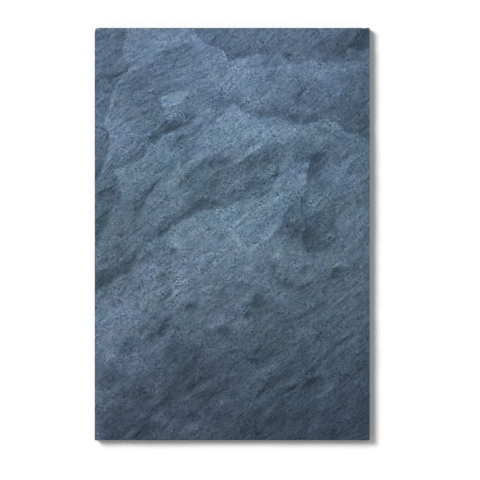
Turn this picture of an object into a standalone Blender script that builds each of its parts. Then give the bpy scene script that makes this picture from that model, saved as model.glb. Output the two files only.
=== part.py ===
"""Riven slate slab: one flat rectangular piece of slate, 400 x 600 x 20 mm.

The slab lies flat on its ground back with its riven (split) face up. Its long side runs along Y.
The riven face is made of thin overlapping sheets: each sheet ends in a broken ledge, and between
them lie scooped hollows, low ridges and grooves. The four sides are sawn straight, one corner is
chipped, and a narrow arris is eased off around the back.

All lengths are in millimetres. On the riven face x runs right and y runs up from the lower left
corner. The finished object is in metres, with its origin under the middle of its back.
"""

from collections import namedtuple

import bmesh
import bpy
import numpy as np
from mathutils.geometry import delaunay_2d_cdt

MM = 0.001

# ---------------------------------------------------------------- driving dimensions
WIDTH = 400.0
LENGTH = 600.0
THICKNESS = 20.0            # to the highest point of the riven face
MEAN_LEVEL = 17.1           # height of the riven face before any feature is added
SHOULDER = 1.2              # above THICKNESS - SHOULDER the face flattens towards THICKNESS
CORNER_CHIP = 3.2           # broken off the upper left corner, along each side
BACK_ARRIS = 1.0            # eased edge around the back

SWELL = 0.7                 # height of the broad waves of the split
SWELL_X = 150.0             # their lengths
SWELL_Y = 110.0
RIPPLE = 0.5
RIPPLE_LENGTH = 60.0
RAGGED = 1.3                # how far broken edges wander from their lines
RAGGED_LENGTH = 9.0
NIBBLED = 0.9
NIBBLED_LENGTH = 4.0

POINT_SPACING = 10.2        # of the points between the features
LINE_SPACING = 7.5          # of the points along the features
BORDER_SPACING = 9.0        # of the points along the slab's edges
LINE_CLEARANCE = 4.4        # no loose point lies nearer to a feature's line

LEDGE_END = 14.0            # a ledge dies out over this length at each end
RIDGE_END = 10.0

# A ledge's line is walked with the higher sheet on its left.
# face: width of the broken edge; step: how far the sheet stands up at its edge, and run: how far
# back it stays up; dip: depth of the scoop at its foot, and reach: how far out the scoop goes.
Ledge = namedtuple("Ledge", "name face step run dip reach line")

# A hollow is let in inside its outline. wall: width of its upper left slope; apron: of its
# lower right slope.
Hollow = namedtuple("Hollow", "name depth wall apron outline")

# A ridge stands up along its line, and a groove is a ridge of negative height.
Ridge = namedtuple("Ridge", "name height width line")

LEDGES = [
    # sheets whose broken edges face up and to the left
    Ledge("strip_edge", 1.6, 1.5, 90, 0.5, 14, [
        (48, 604), (48, 591), (44, 580), (42, 566), (41, 556), (48, 550), (54, 545), (49, 538),
        (43, 533), (36, 523), (29, 511), (24, 499), (22, 487), (21, 477), (16, 470), (15, 462),
        (20, 451), (21, 441), (21, 430), (20, 416), (16, 404), (11, 392), (5, 381), (-3, 372)]),
    Ledge("top_right_edge", 1.6, 1.8, 80, 0.8, 22, [
        (404, 551), (390, 552), (380, 553), (369, 551), (358, 548), (350, 549), (340, 550),
        (328, 550), (318, 552), (308, 551), (297, 547), (287, 548), (281, 553), (276, 559),
        (269, 563), (262, 562), (255, 559), (246, 561), (238, 562), (231, 560), (224, 557),
        (217, 555), (209, 556), (203, 552), (197, 551), (194, 556), (191, 560), (187, 567),
        (180, 571), (170, 574), (163, 579), (157, 582), (149, 588), (146, 604)]),
    Ledge("sheet_c_edge", 1.6, 2.0, 60, 1.4, 14, [
        (152, 474), (145, 464), (137, 458), (125, 453), (113, 448), (102, 444), (95, 439),
        (88, 432), (80, 427), (76, 420), (74, 413), (66, 408), (52, 402), (38, 397), (27, 394),
        (30, 387), (34, 381), (35, 371), (37, 364), (41, 357), (38, 348)]),
    Ledge("peak_edge", 1.6, 1.6, 60, 0.7, 14, [
        (301, 442), (296, 450), (289, 457), (284, 463), (279, 467), (272, 469), (264, 470),
        (256, 469), (247, 468), (239, 468), (231, 472), (223, 477), (215, 481), (209, 487),
        (204, 489), (199, 487), (194, 482), (191, 477), (184, 471), (177, 464), (170, 457),
        (163, 450), (155, 443), (147, 437), (139, 431)]),
    Ledge("right_sheet_edge", 1.6, 1.2, 50, 1.0, 30, [
        (404, 438), (393, 441), (385, 446), (377, 443), (370, 446), (364, 451), (359, 459),
        (352, 465), (342, 467), (333, 468), (326, 465), (318, 463), (309, 460), (302, 454)]),
    Ledge("sheet_f_edge", 1.6, 2.0, 70, 1.2, 12, [
        (272, 390), (266, 380), (260, 368), (252, 358), (243, 353), (233, 352), (223, 352),
        (214, 349), (205, 345), (196, 340), (185, 337), (172, 336), (162, 335), (151, 332),
        (144, 328), (137, 323), (128, 318), (119, 314), (112, 310), (109, 305), (102, 300),
        (95, 296), (86, 291), (78, 286), (70, 281)]),
    Ledge("left_groove_edge", 2.5, 0.8, 60, 0.8, 14, [
        (74, 274), (66, 264), (59, 255), (53, 246), (46, 241), (39, 238), (32, 234), (26, 229),
        (20, 225), (11, 221), (5, 221), (-3, 217)]),
    Ledge("right_hollow_edge", 2.0, 0.9, 50, 1.2, 18, [
        (345, 347), (352, 337), (351, 325), (350, 312), (353, 303), (354, 295), (350, 286),
        (343, 279), (334, 276), (326, 275), (318, 273), (312, 273), (305, 278), (300, 284)]),
    Ledge("inner_sheet_edge", 1.6, 0.9, 28, 0.9, 10, [
        (99, 382), (93, 376), (87, 367), (80, 358), (75, 352), (75, 343), (79, 334)]),
    Ledge("corner_foot_edge", 1.6, 0.9, 20, 0.8, 10, [
        (404, 575), (397, 568), (385, 567), (377, 568), (371, 570), (364, 565)]),
    # sheets whose broken edges face down and to the right
    Ledge("fibre_edge", 5.0, 0.5, 24, 0.5, 30, [
        (57, 543), (64, 541), (71, 546), (80, 553), (92, 560), (103, 570), (115, 577), (127, 580),
        (138, 577), (148, 569), (157, 558)]),
    Ledge("lens_edge", 5.0, 0.7, 45, 0.4, 26, [
        (118, 366), (124, 373), (126, 382), (133, 390), (141, 394), (150, 399), (157, 403),
        (164, 411), (172, 415), (184, 416), (190, 411), (200, 413), (210, 409), (219, 411),
        (228, 416), (237, 423), (244, 427), (257, 430), (268, 431), (277, 427)]),
    Ledge("right_hollow_bank", 4.0, 0.8, 35, 0.7, 26, [
        (262, 299), (268, 305), (275, 315), (273, 324), (279, 331), (286, 340), (295, 343)]),
    Ledge("right_hollow_crack", 2.2, 0.7, 20, 0.7, 12, [
        (305, 280), (302, 291), (303, 300), (308, 306), (307, 314), (306, 323), (301, 331),
        (300, 341), (300, 351), (303, 358), (311, 364), (317, 369)]),
    Ledge("pit_edge", 2.5, 1.1, 26, 0.9, 18, [
        (305, 370), (310, 378), (311, 386), (312, 394), (313, 400), (309, 405), (302, 409),
        (292, 411)]),
    Ledge("scallop_edge", 3.0, 0.9, 26, 0.8, 10, [
        (254, 265), (258, 259), (258, 252), (258, 246), (263, 239), (271, 231), (280, 227),
        (289, 229), (299, 223), (307, 224), (314, 231), (319, 240)]),
    Ledge("upper_crack", 2.5, 0.9, 20, 0.9, 14, [
        (296, 488), (295, 500), (301, 508), (300, 515), (295, 525), (291, 538)]),
    Ledge("corner_crack", 4.0, 0.7, 26, 0.7, 16, [
        (350, 558), (361, 566), (370, 573), (378, 582), (385, 592), (392, 604)]),
    Ledge("left_black_edge", 3.0, 0.9, 26, 0.9, 22, [(-3, 356), (10, 362), (22, 368), (33, 371)]),
    Ledge("left_crack", 2.0, 0.7, 26, 0.9, 12, [
        (-3, 527), (8, 529), (20, 529), (33, 531), (43, 536), (50, 539)]),
    Ledge("left_tab", 1.6, 0.6, 20, 0.7, 14, [
        (20, 425), (20, 440), (18, 448), (14, 453), (8, 455), (-3, 455)]),
    Ledge("patch_edge", 4.0, 0.5, 24, 0.4, 14, [
        (162, 160), (172, 163), (180, 165), (187, 169), (192, 176), (193, 186)]),
    Ledge("bright_right_edge", 2.5, 0.9, 22, 0.7, 18, [
        (358, 376), (366, 386), (369, 395), (374, 402), (372, 412)]),
    Ledge("knob_edge", 2.5, 0.9, 16, 0.9, 9, [
        (104, 285), (110, 280), (118, 278), (125, 274), (132, 275)]),
    Ledge("sheet_c_step", 2.5, 0.7, 22, 0.7, 10, [
        (160, 464), (157, 454), (149, 446), (142, 440), (133, 433), (123, 428), (110, 425)]),
]

HOLLOWS = [
    Hollow("upper_hollow", 1.2, 9, 9, [
        (73, 436), (80, 447), (91, 455), (103, 462), (114, 466), (125, 466), (134, 466),
        (143, 473), (150, 481), (149, 471), (141, 461), (129, 454), (116, 449), (102, 445),
        (94, 438), (86, 430)]),
    Hollow("upper_hollow_tail", 0.7, 6, 10, [
        (40, 401), (48, 409), (58, 416), (66, 424), (77, 428), (74, 420), (66, 411), (53, 403)]),
    Hollow("middle_groove", 1.1, 7, 8, [
        (90, 297), (96, 305), (104, 312), (113, 321), (122, 324), (131, 333), (140, 343),
        (148, 350), (158, 353), (172, 352), (186, 347), (180, 340), (162, 338), (148, 332),
        (138, 325), (128, 319), (118, 314), (110, 306), (102, 299)]),
    Hollow("lens_west", 0.8, 9, 14, [
        (127, 374), (131, 385), (142, 391), (152, 396), (164, 401), (174, 410), (188, 412),
        (192, 403), (181, 392), (178, 380), (173, 368), (165, 361), (150, 358), (140, 365)]),
    Hollow("lens_east", 0.8, 10, 12, [
        (206, 400), (216, 408), (228, 414), (238, 421), (246, 425), (262, 427), (268, 420),
        (262, 410), (262, 403), (252, 399), (240, 396), (226, 395), (214, 394)]),
    Hollow("lens_south", 0.7, 8, 14, [
        (195, 352), (200, 362), (215, 368), (228, 374), (232, 384), (243, 386), (247, 377),
        (243, 366), (235, 360), (222, 357), (208, 353)]),
    Hollow("pit", 1.5, 9, 14, [
        (306, 404), (309, 414), (318, 420), (332, 421), (341, 416), (340, 406), (335, 396),
        (331, 386), (324, 379), (315, 379), (311, 387), (312, 398), (310, 404)]),
    Hollow("pit_core", 0.7, 6, 9, [
        (311, 406), (315, 413), (324, 417), (336, 416), (337, 410), (330, 404), (319, 403)]),
    Hollow("pit_front", 0.9, 7, 10, [
        (287, 410), (292, 419), (301, 422), (311, 416), (311, 408), (303, 403), (294, 403)]),
    Hollow("right_hollow_west", 1.1, 12, 16, [
        (275, 325), (281, 334), (291, 337), (299, 333), (305, 320), (306, 306), (301, 290),
        (289, 287), (279, 292), (272, 300), (277, 311)]),
    Hollow("right_hollow_core", 1.3, 11, 15, [
        (300, 302), (306, 312), (317, 312), (324, 301), (332, 293), (344, 288), (347, 279),
        (336, 273), (324, 271), (313, 270), (304, 277), (299, 290)]),
    Hollow("right_hollow_east", 0.9, 16, 30, [
        (307, 327), (318, 333), (329, 338), (342, 345), (353, 343), (358, 329), (360, 312),
        (362, 298), (352, 285), (332, 287), (318, 300), (309, 314)]),
    Hollow("left_groove", 1.3, 12, 9, [
        (-4, 246), (9, 251), (17, 254), (28, 257), (39, 261), (48, 264), (57, 267), (64, 270),
        (62, 262), (58, 253), (51, 245), (41, 239), (33, 235), (26, 229), (19, 224), (10, 219),
        (-4, 213)]),
    Hollow("left_wedge", 1.6, 6, 8, [
        (-4, 320), (8, 328), (16, 334), (25, 339), (26, 329), (23, 318), (18, 309), (12, 301),
        (8, 292), (-4, 282)]),
    Hollow("left_dark", 0.8, 8, 12, [
        (-4, 356), (12, 362), (25, 368), (33, 368), (38, 356), (34, 344), (22, 341), (8, 346),
        (-4, 340)]),
    Hollow("left_spot", 0.8, 4, 6, [(25, 275), (29, 283), (35, 287), (38, 283), (32, 277)]),
    Hollow("inner_foot", 0.8, 5, 8, [
        (56, 343), (60, 351), (70, 353), (74, 350), (73, 343), (66, 331), (60, 330), (57, 336)]),
    Hollow("top_slot", 1.0, 4, 6, [
        (168, 573), (170, 579), (176, 588), (180, 590), (179, 580), (175, 574)]),
    Hollow("top_gap", 0.8, 6, 8, [
        (187, 568), (190, 574), (198, 574), (203, 566), (201, 554), (195, 555), (192, 562)]),
    Hollow("top_notch", 1.0, 3, 5, [(275, 566), (279, 563), (288, 562), (290, 558), (281, 556)]),
    Hollow("corner_hollow", 1.0, 9, 12, [
        (372, 571), (380, 580), (387, 590), (393, 604), (404, 604), (404, 574), (396, 566),
        (384, 566)]),
    Hollow("peak_wedge", 1.2, 5, 8, [
        (280, 474), (285, 473), (293, 475), (299, 473), (298, 463), (297, 457), (291, 461),
        (285, 468)]),
    Hollow("sheet_c_spot", 0.7, 4, 6, [
        (119, 433), (123, 440), (129, 448), (132, 444), (128, 437), (124, 433)]),
    Hollow("low_slot", 1.1, 6, 10, [
        (90, 151), (93, 160), (97, 170), (103, 178), (112, 178), (112, 168), (108, 158),
        (101, 150)]),
    Hollow("low_spot_138", 0.8, 4, 6, [(132, 191), (134, 198), (141, 199), (144, 195), (139, 190)]),
    Hollow("low_spot_236", 1.1, 6, 9, [
        (225, 197), (229, 204), (233, 212), (242, 212), (249, 207), (250, 198), (244, 190),
        (234, 191)]),
    Hollow("low_spot_222", 0.8, 5, 6, [(217, 178), (218, 187), (223, 190), (228, 185), (226, 178)]),
    Hollow("patch_foot", 0.9, 5, 7, [
        (176, 156), (181, 162), (190, 165), (200, 163), (202, 154), (192, 150)]),
    Hollow("knob_foot", 0.9, 3, 5, [
        (107, 281), (111, 282), (117, 279), (123, 275), (116, 271), (111, 271)]),
    Hollow("right_spot_350", 1.0, 6, 8, [
        (342, 240), (346, 249), (353, 253), (361, 251), (361, 241), (357, 233), (348, 234)]),
    Hollow("low_pit", 1.2, 6, 9, [
        (300, 73), (304, 82), (311, 90), (322, 94), (331, 91), (329, 84), (321, 77), (309, 73)]),
    Hollow("low_dip_230", 0.8, 5, 7, [(220, 118), (228, 121), (240, 116), (240, 111), (229, 111)]),
    Hollow("low_dip_158", 0.8, 5, 7, [
        (151, 68), (157, 74), (166, 72), (168, 65), (161, 57), (154, 61)]),
    Hollow("low_dip_70", 0.8, 6, 8, [(62, 75), (70, 76), (78, 68), (74, 63), (64, 66)]),
]

RIDGES = [
    Ridge("scoop_rim", 0.8, 4, [
        (199, 312), (202, 303), (208, 292), (214, 284), (221, 279), (228, 276), (236, 277),
        (241, 284), (248, 291), (257, 300), (262, 309)]),
    Ridge("inner_band", -0.7, 6, [
        (97, 384), (86, 370), (75, 355), (66, 338), (60, 320), (54, 300)]),
    Ridge("knob", 0.8, 4.5, [(115, 294), (117, 289), (121, 283), (126, 277)]),
    Ridge("low_ridge_a", 1.2, 9, [
        (212, 62), (222, 77), (233, 90), (248, 101), (264, 116), (270, 122)]),
    Ridge("low_ridge_c", 0.7, 4, [(262, 73), (274, 81), (293, 91), (306, 100)]),
    Ridge("low_ridge_d", 0.7, 7, [(322, 58), (335, 70), (348, 82), (357, 92)]),
    Ridge("low_ridge_e", 0.7, 5, [(150, 70), (160, 80), (171, 87), (190, 92), (212, 98)]),
    Ridge("low_ridge_g", 0.6, 5, [(348, 122), (361, 130), (374, 138), (390, 150)]),
    Ridge("low_ridge_i", 0.7, 5, [(300, 46), (314, 55), (332, 66)]),
    Ridge("low_groove_a", -0.7, 3, [(334, 121), (343, 129), (354, 138), (365, 146), (377, 154)]),
    Ridge("low_groove_b", -0.8, 4, [(235, 64), (245, 75), (253, 83), (262, 93)]),
    Ridge("low_groove_c", -0.8, 4, [(262, 64), (276, 70), (290, 76), (300, 82)]),
]

# The pale chip is a small separate sheet that still lies on the main one.
CHIP_THICKNESS = 0.8
CHIP_EDGE = 2.0
CHIP = [(96, 496), (100, 500), (107, 502), (120, 507), (132, 508), (138, 506), (134, 499),
        (128, 492), (119, 488), (108, 485), (103, 484), (99, 490)]


# ---------------------------------------------------------------- uneven split
def scatter(ix, iy, seed):
    """A repeatable number from 0 to 1 for each whole-numbered place."""
    n = (ix * 374761393 + iy * 668265263 + seed * 974634777) & 0xFFFFFFFF
    n = ((n ^ (n >> 13)) * 1274126177) & 0xFFFFFFFF
    n = ((n ^ (n >> 15)) * 2246822519) & 0xFFFFFFFF
    return ((n ^ (n >> 16)) & 0xFFFF) / 65536.0


def noise(x, y, seed):
    """Smooth gradient noise of wavelength 1, from about -1 to 1."""
    ix = np.floor(x).astype(np.int64)
    iy = np.floor(y).astype(np.int64)
    fx = x - ix
    fy = y - iy

    def corner(dx, dy):
        angle = 2 * np.pi * scatter(ix + dx, iy + dy, seed)
        return np.cos(angle) * (fx - dx) + np.sin(angle) * (fy - dy)

    sx = fx ** 3 * (fx * (6 * fx - 15) + 10)
    sy = fy ** 3 * (fy * (6 * fy - 15) + 10)
    low = corner(0, 0) * (1 - sx) + corner(1, 0) * sx
    high = corner(0, 1) * (1 - sx) + corner(1, 1) * sx
    return 1.5 * (low * (1 - sy) + high * sy)


def wander(x, y):
    """How far the broken edges are shifted from their lines at each place."""
    dx = RAGGED * noise(x / RAGGED_LENGTH, y / RAGGED_LENGTH, 11)
    dy = RAGGED * noise(x / RAGGED_LENGTH, y / RAGGED_LENGTH, 13)
    dx += NIBBLED * noise(x / NIBBLED_LENGTH, y / NIBBLED_LENGTH, 12)
    dy += NIBBLED * noise(x / NIBBLED_LENGTH, y / NIBBLED_LENGTH, 14)
    return dx, dy


# ---------------------------------------------------------------- distances
def smooth(t):
    t = np.clip(t, 0, 1)
    return t * t * (3 - 2 * t)


def to_line(x, y, line):
    """Distance to an open line, positive on its left, the length walked along it to the nearest
    point, and the line's whole length."""
    best = np.full(x.shape, 1e9)
    side = np.zeros(x.shape)
    walked = np.zeros(x.shape)
    start = 0.0
    for (ax, ay), (bx, by) in zip(line, line[1:]):
        dx, dy = bx - ax, by - ay
        length = np.hypot(dx, dy)
        t = np.clip(((x - ax) * dx + (y - ay) * dy) / length ** 2, 0, 1)
        gap = np.hypot(x - ax - t * dx, y - ay - t * dy)
        across = (dx * (y - ay) - dy * (x - ax)) / length
        closer = (gap < best - 1e-6) | ((gap < best + 1e-6) & (np.abs(across) > np.abs(side)))
        best = np.where(closer, gap, best)
        side = np.where(closer, across, side)
        walked = np.where(closer, start + t * length, walked)
        start += length
    return np.where(side < 0, -best, best), walked, start


def to_outline(x, y, outline):
    """Distance to a closed outline, positive inside, and the direction that leads inwards."""
    best = np.full(x.shape, 1e9)
    inside = np.zeros(x.shape, bool)
    away_x = np.zeros(x.shape)
    away_y = np.zeros(x.shape)
    for (ax, ay), (bx, by) in zip(outline, outline[1:] + outline[:1]):
        dx, dy = bx - ax, by - ay
        t = np.clip(((x - ax) * dx + (y - ay) * dy) / (dx * dx + dy * dy), 0, 1)
        vx = x - ax - t * dx
        vy = y - ay - t * dy
        gap = np.hypot(vx, vy)
        closer = gap < best
        best = np.where(closer, gap, best)
        away_x = np.where(closer, vx, away_x)
        away_y = np.where(closer, vy, away_y)
        if dy:
            inside ^= ((ay > y) != (by > y)) & (x < ax + (y - ay) * dx / dy)
    sign = np.where(inside, 1, -1)
    size = np.maximum(best, 1e-6) * sign
    return best * sign, away_x / size, away_y / size


def dying_out(walked, length, end):
    """0 at both ends of a line and 1 along its middle."""
    return smooth(np.minimum(walked, length - walked) / min(end, length / 3))


# ---------------------------------------------------------------- the riven face
def ledge_relief(x, y, ledge):
    """The sheet stands up behind its edge and lies down again; the ground dips before it."""
    distance, walked, length = to_line(x, y, ledge.line)
    up = smooth(distance / ledge.face + 0.5)
    behind = np.exp(-1.2 * (np.maximum(distance, 0) / ledge.run) ** 2)
    before = np.exp(-(np.maximum(-distance, 0) / ledge.reach) ** 1.3)
    height = ledge.step * up * behind - ledge.dip * (1 - up) * before
    return height * dying_out(walked, length, LEDGE_END)


def hollow_relief(x, y, hollow):
    """Steep below the upper left rim, and a gentle slope up to the lower right rim."""
    distance, inward_x, inward_y = to_outline(x, y, hollow.outline)
    steep = 0.5 + 0.35 * (inward_x - inward_y)
    width = steep * hollow.wall + (1 - steep) * hollow.apron
    return -hollow.depth * smooth(distance / width + 0.15)


def ridge_relief(x, y, ridge):
    distance, walked, length = to_line(x, y, ridge.line)
    return (ridge.height * np.exp(-(distance / ridge.width) ** 2)
            * dying_out(walked, length, RIDGE_END))


def riven_height(x, y):
    """Height of the riven face above the back at each place."""
    height = MEAN_LEVEL + SWELL * noise(x / SWELL_X, y / SWELL_Y, 21)
    height += RIPPLE * noise(x / RIPPLE_LENGTH, y / RIPPLE_LENGTH, 22)
    dx, dy = wander(x, y)
    x = x + dx
    y = y + dy
    for ledge in LEDGES:
        height += ledge_relief(x, y, ledge)
    for hollow in HOLLOWS:
        height += hollow_relief(x, y, hollow)
    for ridge in RIDGES:
        height += ridge_relief(x, y, ridge)
    height += CHIP_THICKNESS * smooth(to_outline(x, y, CHIP)[0] / CHIP_EDGE + 0.5)
    limit = THICKNESS - SHOULDER
    over = np.maximum(height - limit, 0)
    return np.minimum(height, limit) + SHOULDER * (1 - np.exp(-over / SHOULDER))


# ---------------------------------------------------------------- points of the mesh
def walk(points, spacing):
    """The same line with a point about every `spacing`."""
    walked = [np.array(points[0], float)]
    for a, b in zip(points, points[1:]):
        a = np.array(a, float)
        b = np.array(b, float)
        count = max(1, round(np.linalg.norm(b - a) / spacing))
        walked += [a + (b - a) * i / count for i in range(1, count + 1)]
    return np.array(walked)


def thinned(points, spacing):
    """The line without the points that crowd its last kept point."""
    kept = [points[0]]
    for point in points[1:-1]:
        if np.linalg.norm(point - kept[-1]) > 0.75 * spacing:
            kept.append(point)
    kept.append(points[-1])
    return np.array(kept)


def beside(points, distance):
    """The line moved sideways, to its left."""
    along = np.gradient(points, axis=0)
    along /= np.linalg.norm(along, axis=1)[:, None]
    return points + distance * np.stack([-along[:, 1], along[:, 0]], axis=1)


def as_broken(points):
    """Where the ragged split puts points that lie on a smooth line."""
    found = points.copy()
    for _ in range(4):
        dx, dy = wander(found[:, 0], found[:, 1])
        found = points - np.stack([dx, dy], axis=1)
    return found


def on_slab(points):
    """Points past the slab's edge are brought back to it."""
    return np.clip(points, (0, 0), (WIDTH, LENGTH))


def feature_lines():
    """Rim and foot of each ledge, crest of each ridge, rim of each hollow."""
    lines = []
    for ledge in LEDGES:
        middle = thinned(walk(ledge.line, LINE_SPACING), LINE_SPACING)
        for side in (0.5, -0.5):
            lines.append(as_broken(beside(middle, side * ledge.face)))
    for ridge in RIDGES:
        lines.append(as_broken(thinned(walk(ridge.line, LINE_SPACING), LINE_SPACING)))
    for outline in [hollow.outline for hollow in HOLLOWS] + [CHIP]:
        closed = thinned(walk(outline + outline[:1], LINE_SPACING), LINE_SPACING)
        lines.append(as_broken(closed))
    return [on_slab(line) for line in lines]


def border_points():
    """The slab's outline seen from above, without its chipped corner."""
    corners = [(0, 0), (WIDTH, 0), (WIDTH, LENGTH), (CORNER_CHIP, LENGTH),
               (0, LENGTH - CORNER_CHIP), (0, 0)]
    return corners, walk(corners, BORDER_SPACING)[:-1]


def loose_points(lines):
    """Staggered points that fill the face between the features."""
    rows = int(LENGTH / (POINT_SPACING * 0.866))
    columns = int(WIDTH / POINT_SPACING)
    grid = []
    for row in range(1, rows):
        for column in range(columns):
            shift = 0.25 if row % 2 else 0.75
            grid.append(((column + shift) * WIDTH / columns, row * LENGTH / rows))
    grid = np.array(grid)
    clear = np.ones(len(grid), bool)
    for line in lines:
        clear &= np.abs(to_line(grid[:, 0], grid[:, 1], line)[0]) > LINE_CLEARANCE
    clear &= np.minimum(grid[:, 0], WIDTH - grid[:, 0]) > 0.4 * POINT_SPACING
    return grid[clear]


def floor_points(lines):
    """Points on the floor of each hollow, a wall's width in from its rim."""
    floor = []
    for hollow in HOLLOWS:
        rim = thinned(walk(hollow.outline + hollow.outline[:1], LINE_SPACING), LINE_SPACING)
        x, y = (rim[:-1] + 0.01).T
        inward = to_outline(x, y, hollow.outline)
        for side in (-1, 1):
            px = x + side * hollow.wall * inward[1]
            py = y + side * hollow.wall * inward[2]
            deep = to_outline(px, py, hollow.outline)[0] > 0.7 * hollow.wall
            floor.append(np.stack([px[deep], py[deep]], axis=1))
    floor = as_broken(np.concatenate(floor))
    kept = []
    for point in floor:
        inside = 0 < point[0] < WIDTH and 0 < point[1] < LENGTH
        if inside and all(np.hypot(*(point - other)) > 0.5 * LINE_SPACING for other in kept):
            kept.append(point)
    return np.array(kept)


def riven_mesh():
    """Flat places and triangles of the riven face, with an edge along every rim and foot."""
    lines = feature_lines()
    places = []
    edges = []
    corners, border = border_points()
    for line in [np.vstack([border, border[:1]])] + lines:
        first = len(places)
        places += [tuple(point) for point in line]
        edges += [(first + i, first + i + 1) for i in range(len(line) - 1)]
    places += [tuple(point) for point in loose_points(lines)]
    places += [tuple(point) for point in floor_points(lines)]
    inside_chip = [x + LENGTH - y >= CORNER_CHIP for x, y in places]
    keep = [i for i, inside in enumerate(inside_chip) if inside]
    renumber = {old: new for new, old in enumerate(keep)}
    edges = [(renumber[a], renumber[b]) for a, b in edges if a in renumber and b in renumber]
    result = delaunay_2d_cdt([places[i] for i in keep], edges, [], 0, 1e-3)
    return corners, result[0], result[2]


# ---------------------------------------------------------------- the slab
def slate_material():
    material = bpy.data.materials.new("slate")
    material.use_nodes = True
    shader = material.node_tree.nodes["Principled BSDF"]
    shader.inputs["Base Color"].default_value = (0.095, 0.142, 0.205, 1)
    shader.inputs["Roughness"].default_value = 0.62
    shader.inputs["Metallic"].default_value = 0.0
    return material


def side_points(corner_a, corner_b, places):
    """Numbers of the riven face's points along one side, from corner a to corner b."""
    a = np.array(corner_a, float)
    b = np.array(corner_b, float)
    along = (b - a) / np.linalg.norm(b - a)
    offset = np.array([(p[0], p[1]) for p in places]) - a
    across = np.abs(offset[:, 0] * along[1] - offset[:, 1] * along[0])
    distance = offset @ along
    on_side = (across < 2e-3) & (distance > -1e-3) & (distance < np.linalg.norm(b - a) + 1e-3)
    numbers = np.nonzero(on_side)[0]
    return list(numbers[np.argsort(distance[numbers])])


def build_slab():
    corners, places, triangles = riven_mesh()
    x = np.array([place[0] for place in places])
    y = np.array([place[1] for place in places])
    height = riven_height(x, y)
    height += THICKNESS - height.max()
    mesh = bmesh.new()

    def add(px, py, pz):
        return mesh.verts.new(((px - WIDTH / 2) * MM, (py - LENGTH / 2) * MM, pz * MM))

    top = [add(*point) for point in zip(x, y, height)]
    for triangle in triangles:
        mesh.faces.new([top[i] for i in triangle])
    corners = corners[:-1]
    middle = np.array([WIDTH / 2, LENGTH / 2])
    arris = [add(cx, cy, BACK_ARRIS) for cx, cy in corners]
    back = []
    for corner in corners:
        inwards = np.sign(middle - np.array(corner, float)) * BACK_ARRIS
        back.append(add(corner[0] + inwards[0], corner[1] + inwards[1], 0))
    for i, corner in enumerate(corners):
        j = (i + 1) % len(corners)
        rim = side_points(corner, corners[j], places)
        mesh.faces.new([arris[i], arris[j]] + [top[n] for n in reversed(rim)])
        mesh.faces.new([back[i], back[j], arris[j], arris[i]])
    mesh.faces.new(list(reversed(back)))
    bmesh.ops.recalc_face_normals(mesh, faces=mesh.faces[:])
    return mesh


def main():
    for leftover in list(bpy.data.objects):
        bpy.data.objects.remove(leftover)
    solid = build_slab()
    data = bpy.data.meshes.new("slab")
    solid.to_mesh(data)
    solid.free()
    data.materials.append(slate_material())
    data.shade_smooth()
    data.set_sharp_from_angle(angle=0.6)
    slab = bpy.data.objects.new("slab", data)
    bpy.context.scene.collection.objects.link(slab)


main()
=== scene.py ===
"""Looks of the riven slate slab: one mesh, finer than the CAD solid, with three slate materials.

The slab lies on its ground back with its riven (split) face up. The riven face repeats the ledges,
hollows and ridges of the solid, and adds what is too small for it: ragged edges, terraces a fraction
of a millimetre high, split fibres and grit. All lengths are in millimetres, x to the right and y up
from the lower left corner of the riven face, until the mesh is made in metres. Tones are in stops:
+1 doubles the brightness of the stone. Hues are its red and its blue in stops against its green.
"""

from collections import namedtuple

import bpy
import numpy as np
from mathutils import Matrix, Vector
from mathutils.geometry import delaunay_2d_cdt


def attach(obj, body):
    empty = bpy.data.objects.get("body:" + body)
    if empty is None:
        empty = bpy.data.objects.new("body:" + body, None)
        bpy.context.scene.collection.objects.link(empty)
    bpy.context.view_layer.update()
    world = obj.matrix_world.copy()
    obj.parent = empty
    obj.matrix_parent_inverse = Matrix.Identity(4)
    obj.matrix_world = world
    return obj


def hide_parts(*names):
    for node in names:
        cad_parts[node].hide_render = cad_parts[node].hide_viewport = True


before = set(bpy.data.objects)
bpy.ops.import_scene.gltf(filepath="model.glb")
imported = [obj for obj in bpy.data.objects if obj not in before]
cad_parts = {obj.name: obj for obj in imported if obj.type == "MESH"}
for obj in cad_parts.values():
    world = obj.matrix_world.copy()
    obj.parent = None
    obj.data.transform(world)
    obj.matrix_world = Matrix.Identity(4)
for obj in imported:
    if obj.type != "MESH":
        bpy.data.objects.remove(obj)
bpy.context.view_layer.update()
MM = 0.001

# ---------------------------------------------------------------- the slab's dimensions
WIDTH = 400.0
LENGTH = 600.0
THICKNESS = 20.0            # to the highest point of the riven face
MEAN_LEVEL = 17.1           # height of the riven face before any feature is added
SHOULDER = 1.2              # above THICKNESS - SHOULDER the face flattens towards THICKNESS
CORNER_CHIP = 2.6           # broken off the upper left corner, along each side
CHIP_SPREAD = 6.0           # how far from the corner the break is felt
BACK_ARRIS = 1.0            # eased edge around the back

SWELL = 0.7                 # height of the broad waves of the split
SWELL_X = 150.0             # their lengths
SWELL_Y = 110.0
RIPPLE = 0.5
RIPPLE_LENGTH = 60.0
RAGGED = 1.3                # how far broken edges wander from their lines
RAGGED_LENGTH = 9.0
NIBBLED = 0.9
NIBBLED_LENGTH = 4.0
LEDGE_END = 14.0            # a ledge dies out over this length at each end
RIDGE_END = 10.0
STREAK_HEIGHT = 1.2         # of a streak of tone 1

# The sides: how far up each ring of points lies, and how deep the saw and wear have eaten in.
SIDE_LEVELS = [(0.72, 0.10), (0.46, 0.06), (0.22, 0.06), (0.0, 0.02)]
NICK_DEPTH = 0.5            # of the chips along the edge of the riven face
ARRIS_WEAR = 0.04           # worn off that edge all along, on average
NICK_DROP = 0.8             # how much a nick lowers the edge, for each millimetre that it goes in
NEAR_EDGE_DROP = 0.45       # the face is this much lower along its lower and right edges,
NEAR_EDGE_REACH = 2.5       # and rises inwards over about this distance

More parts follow.
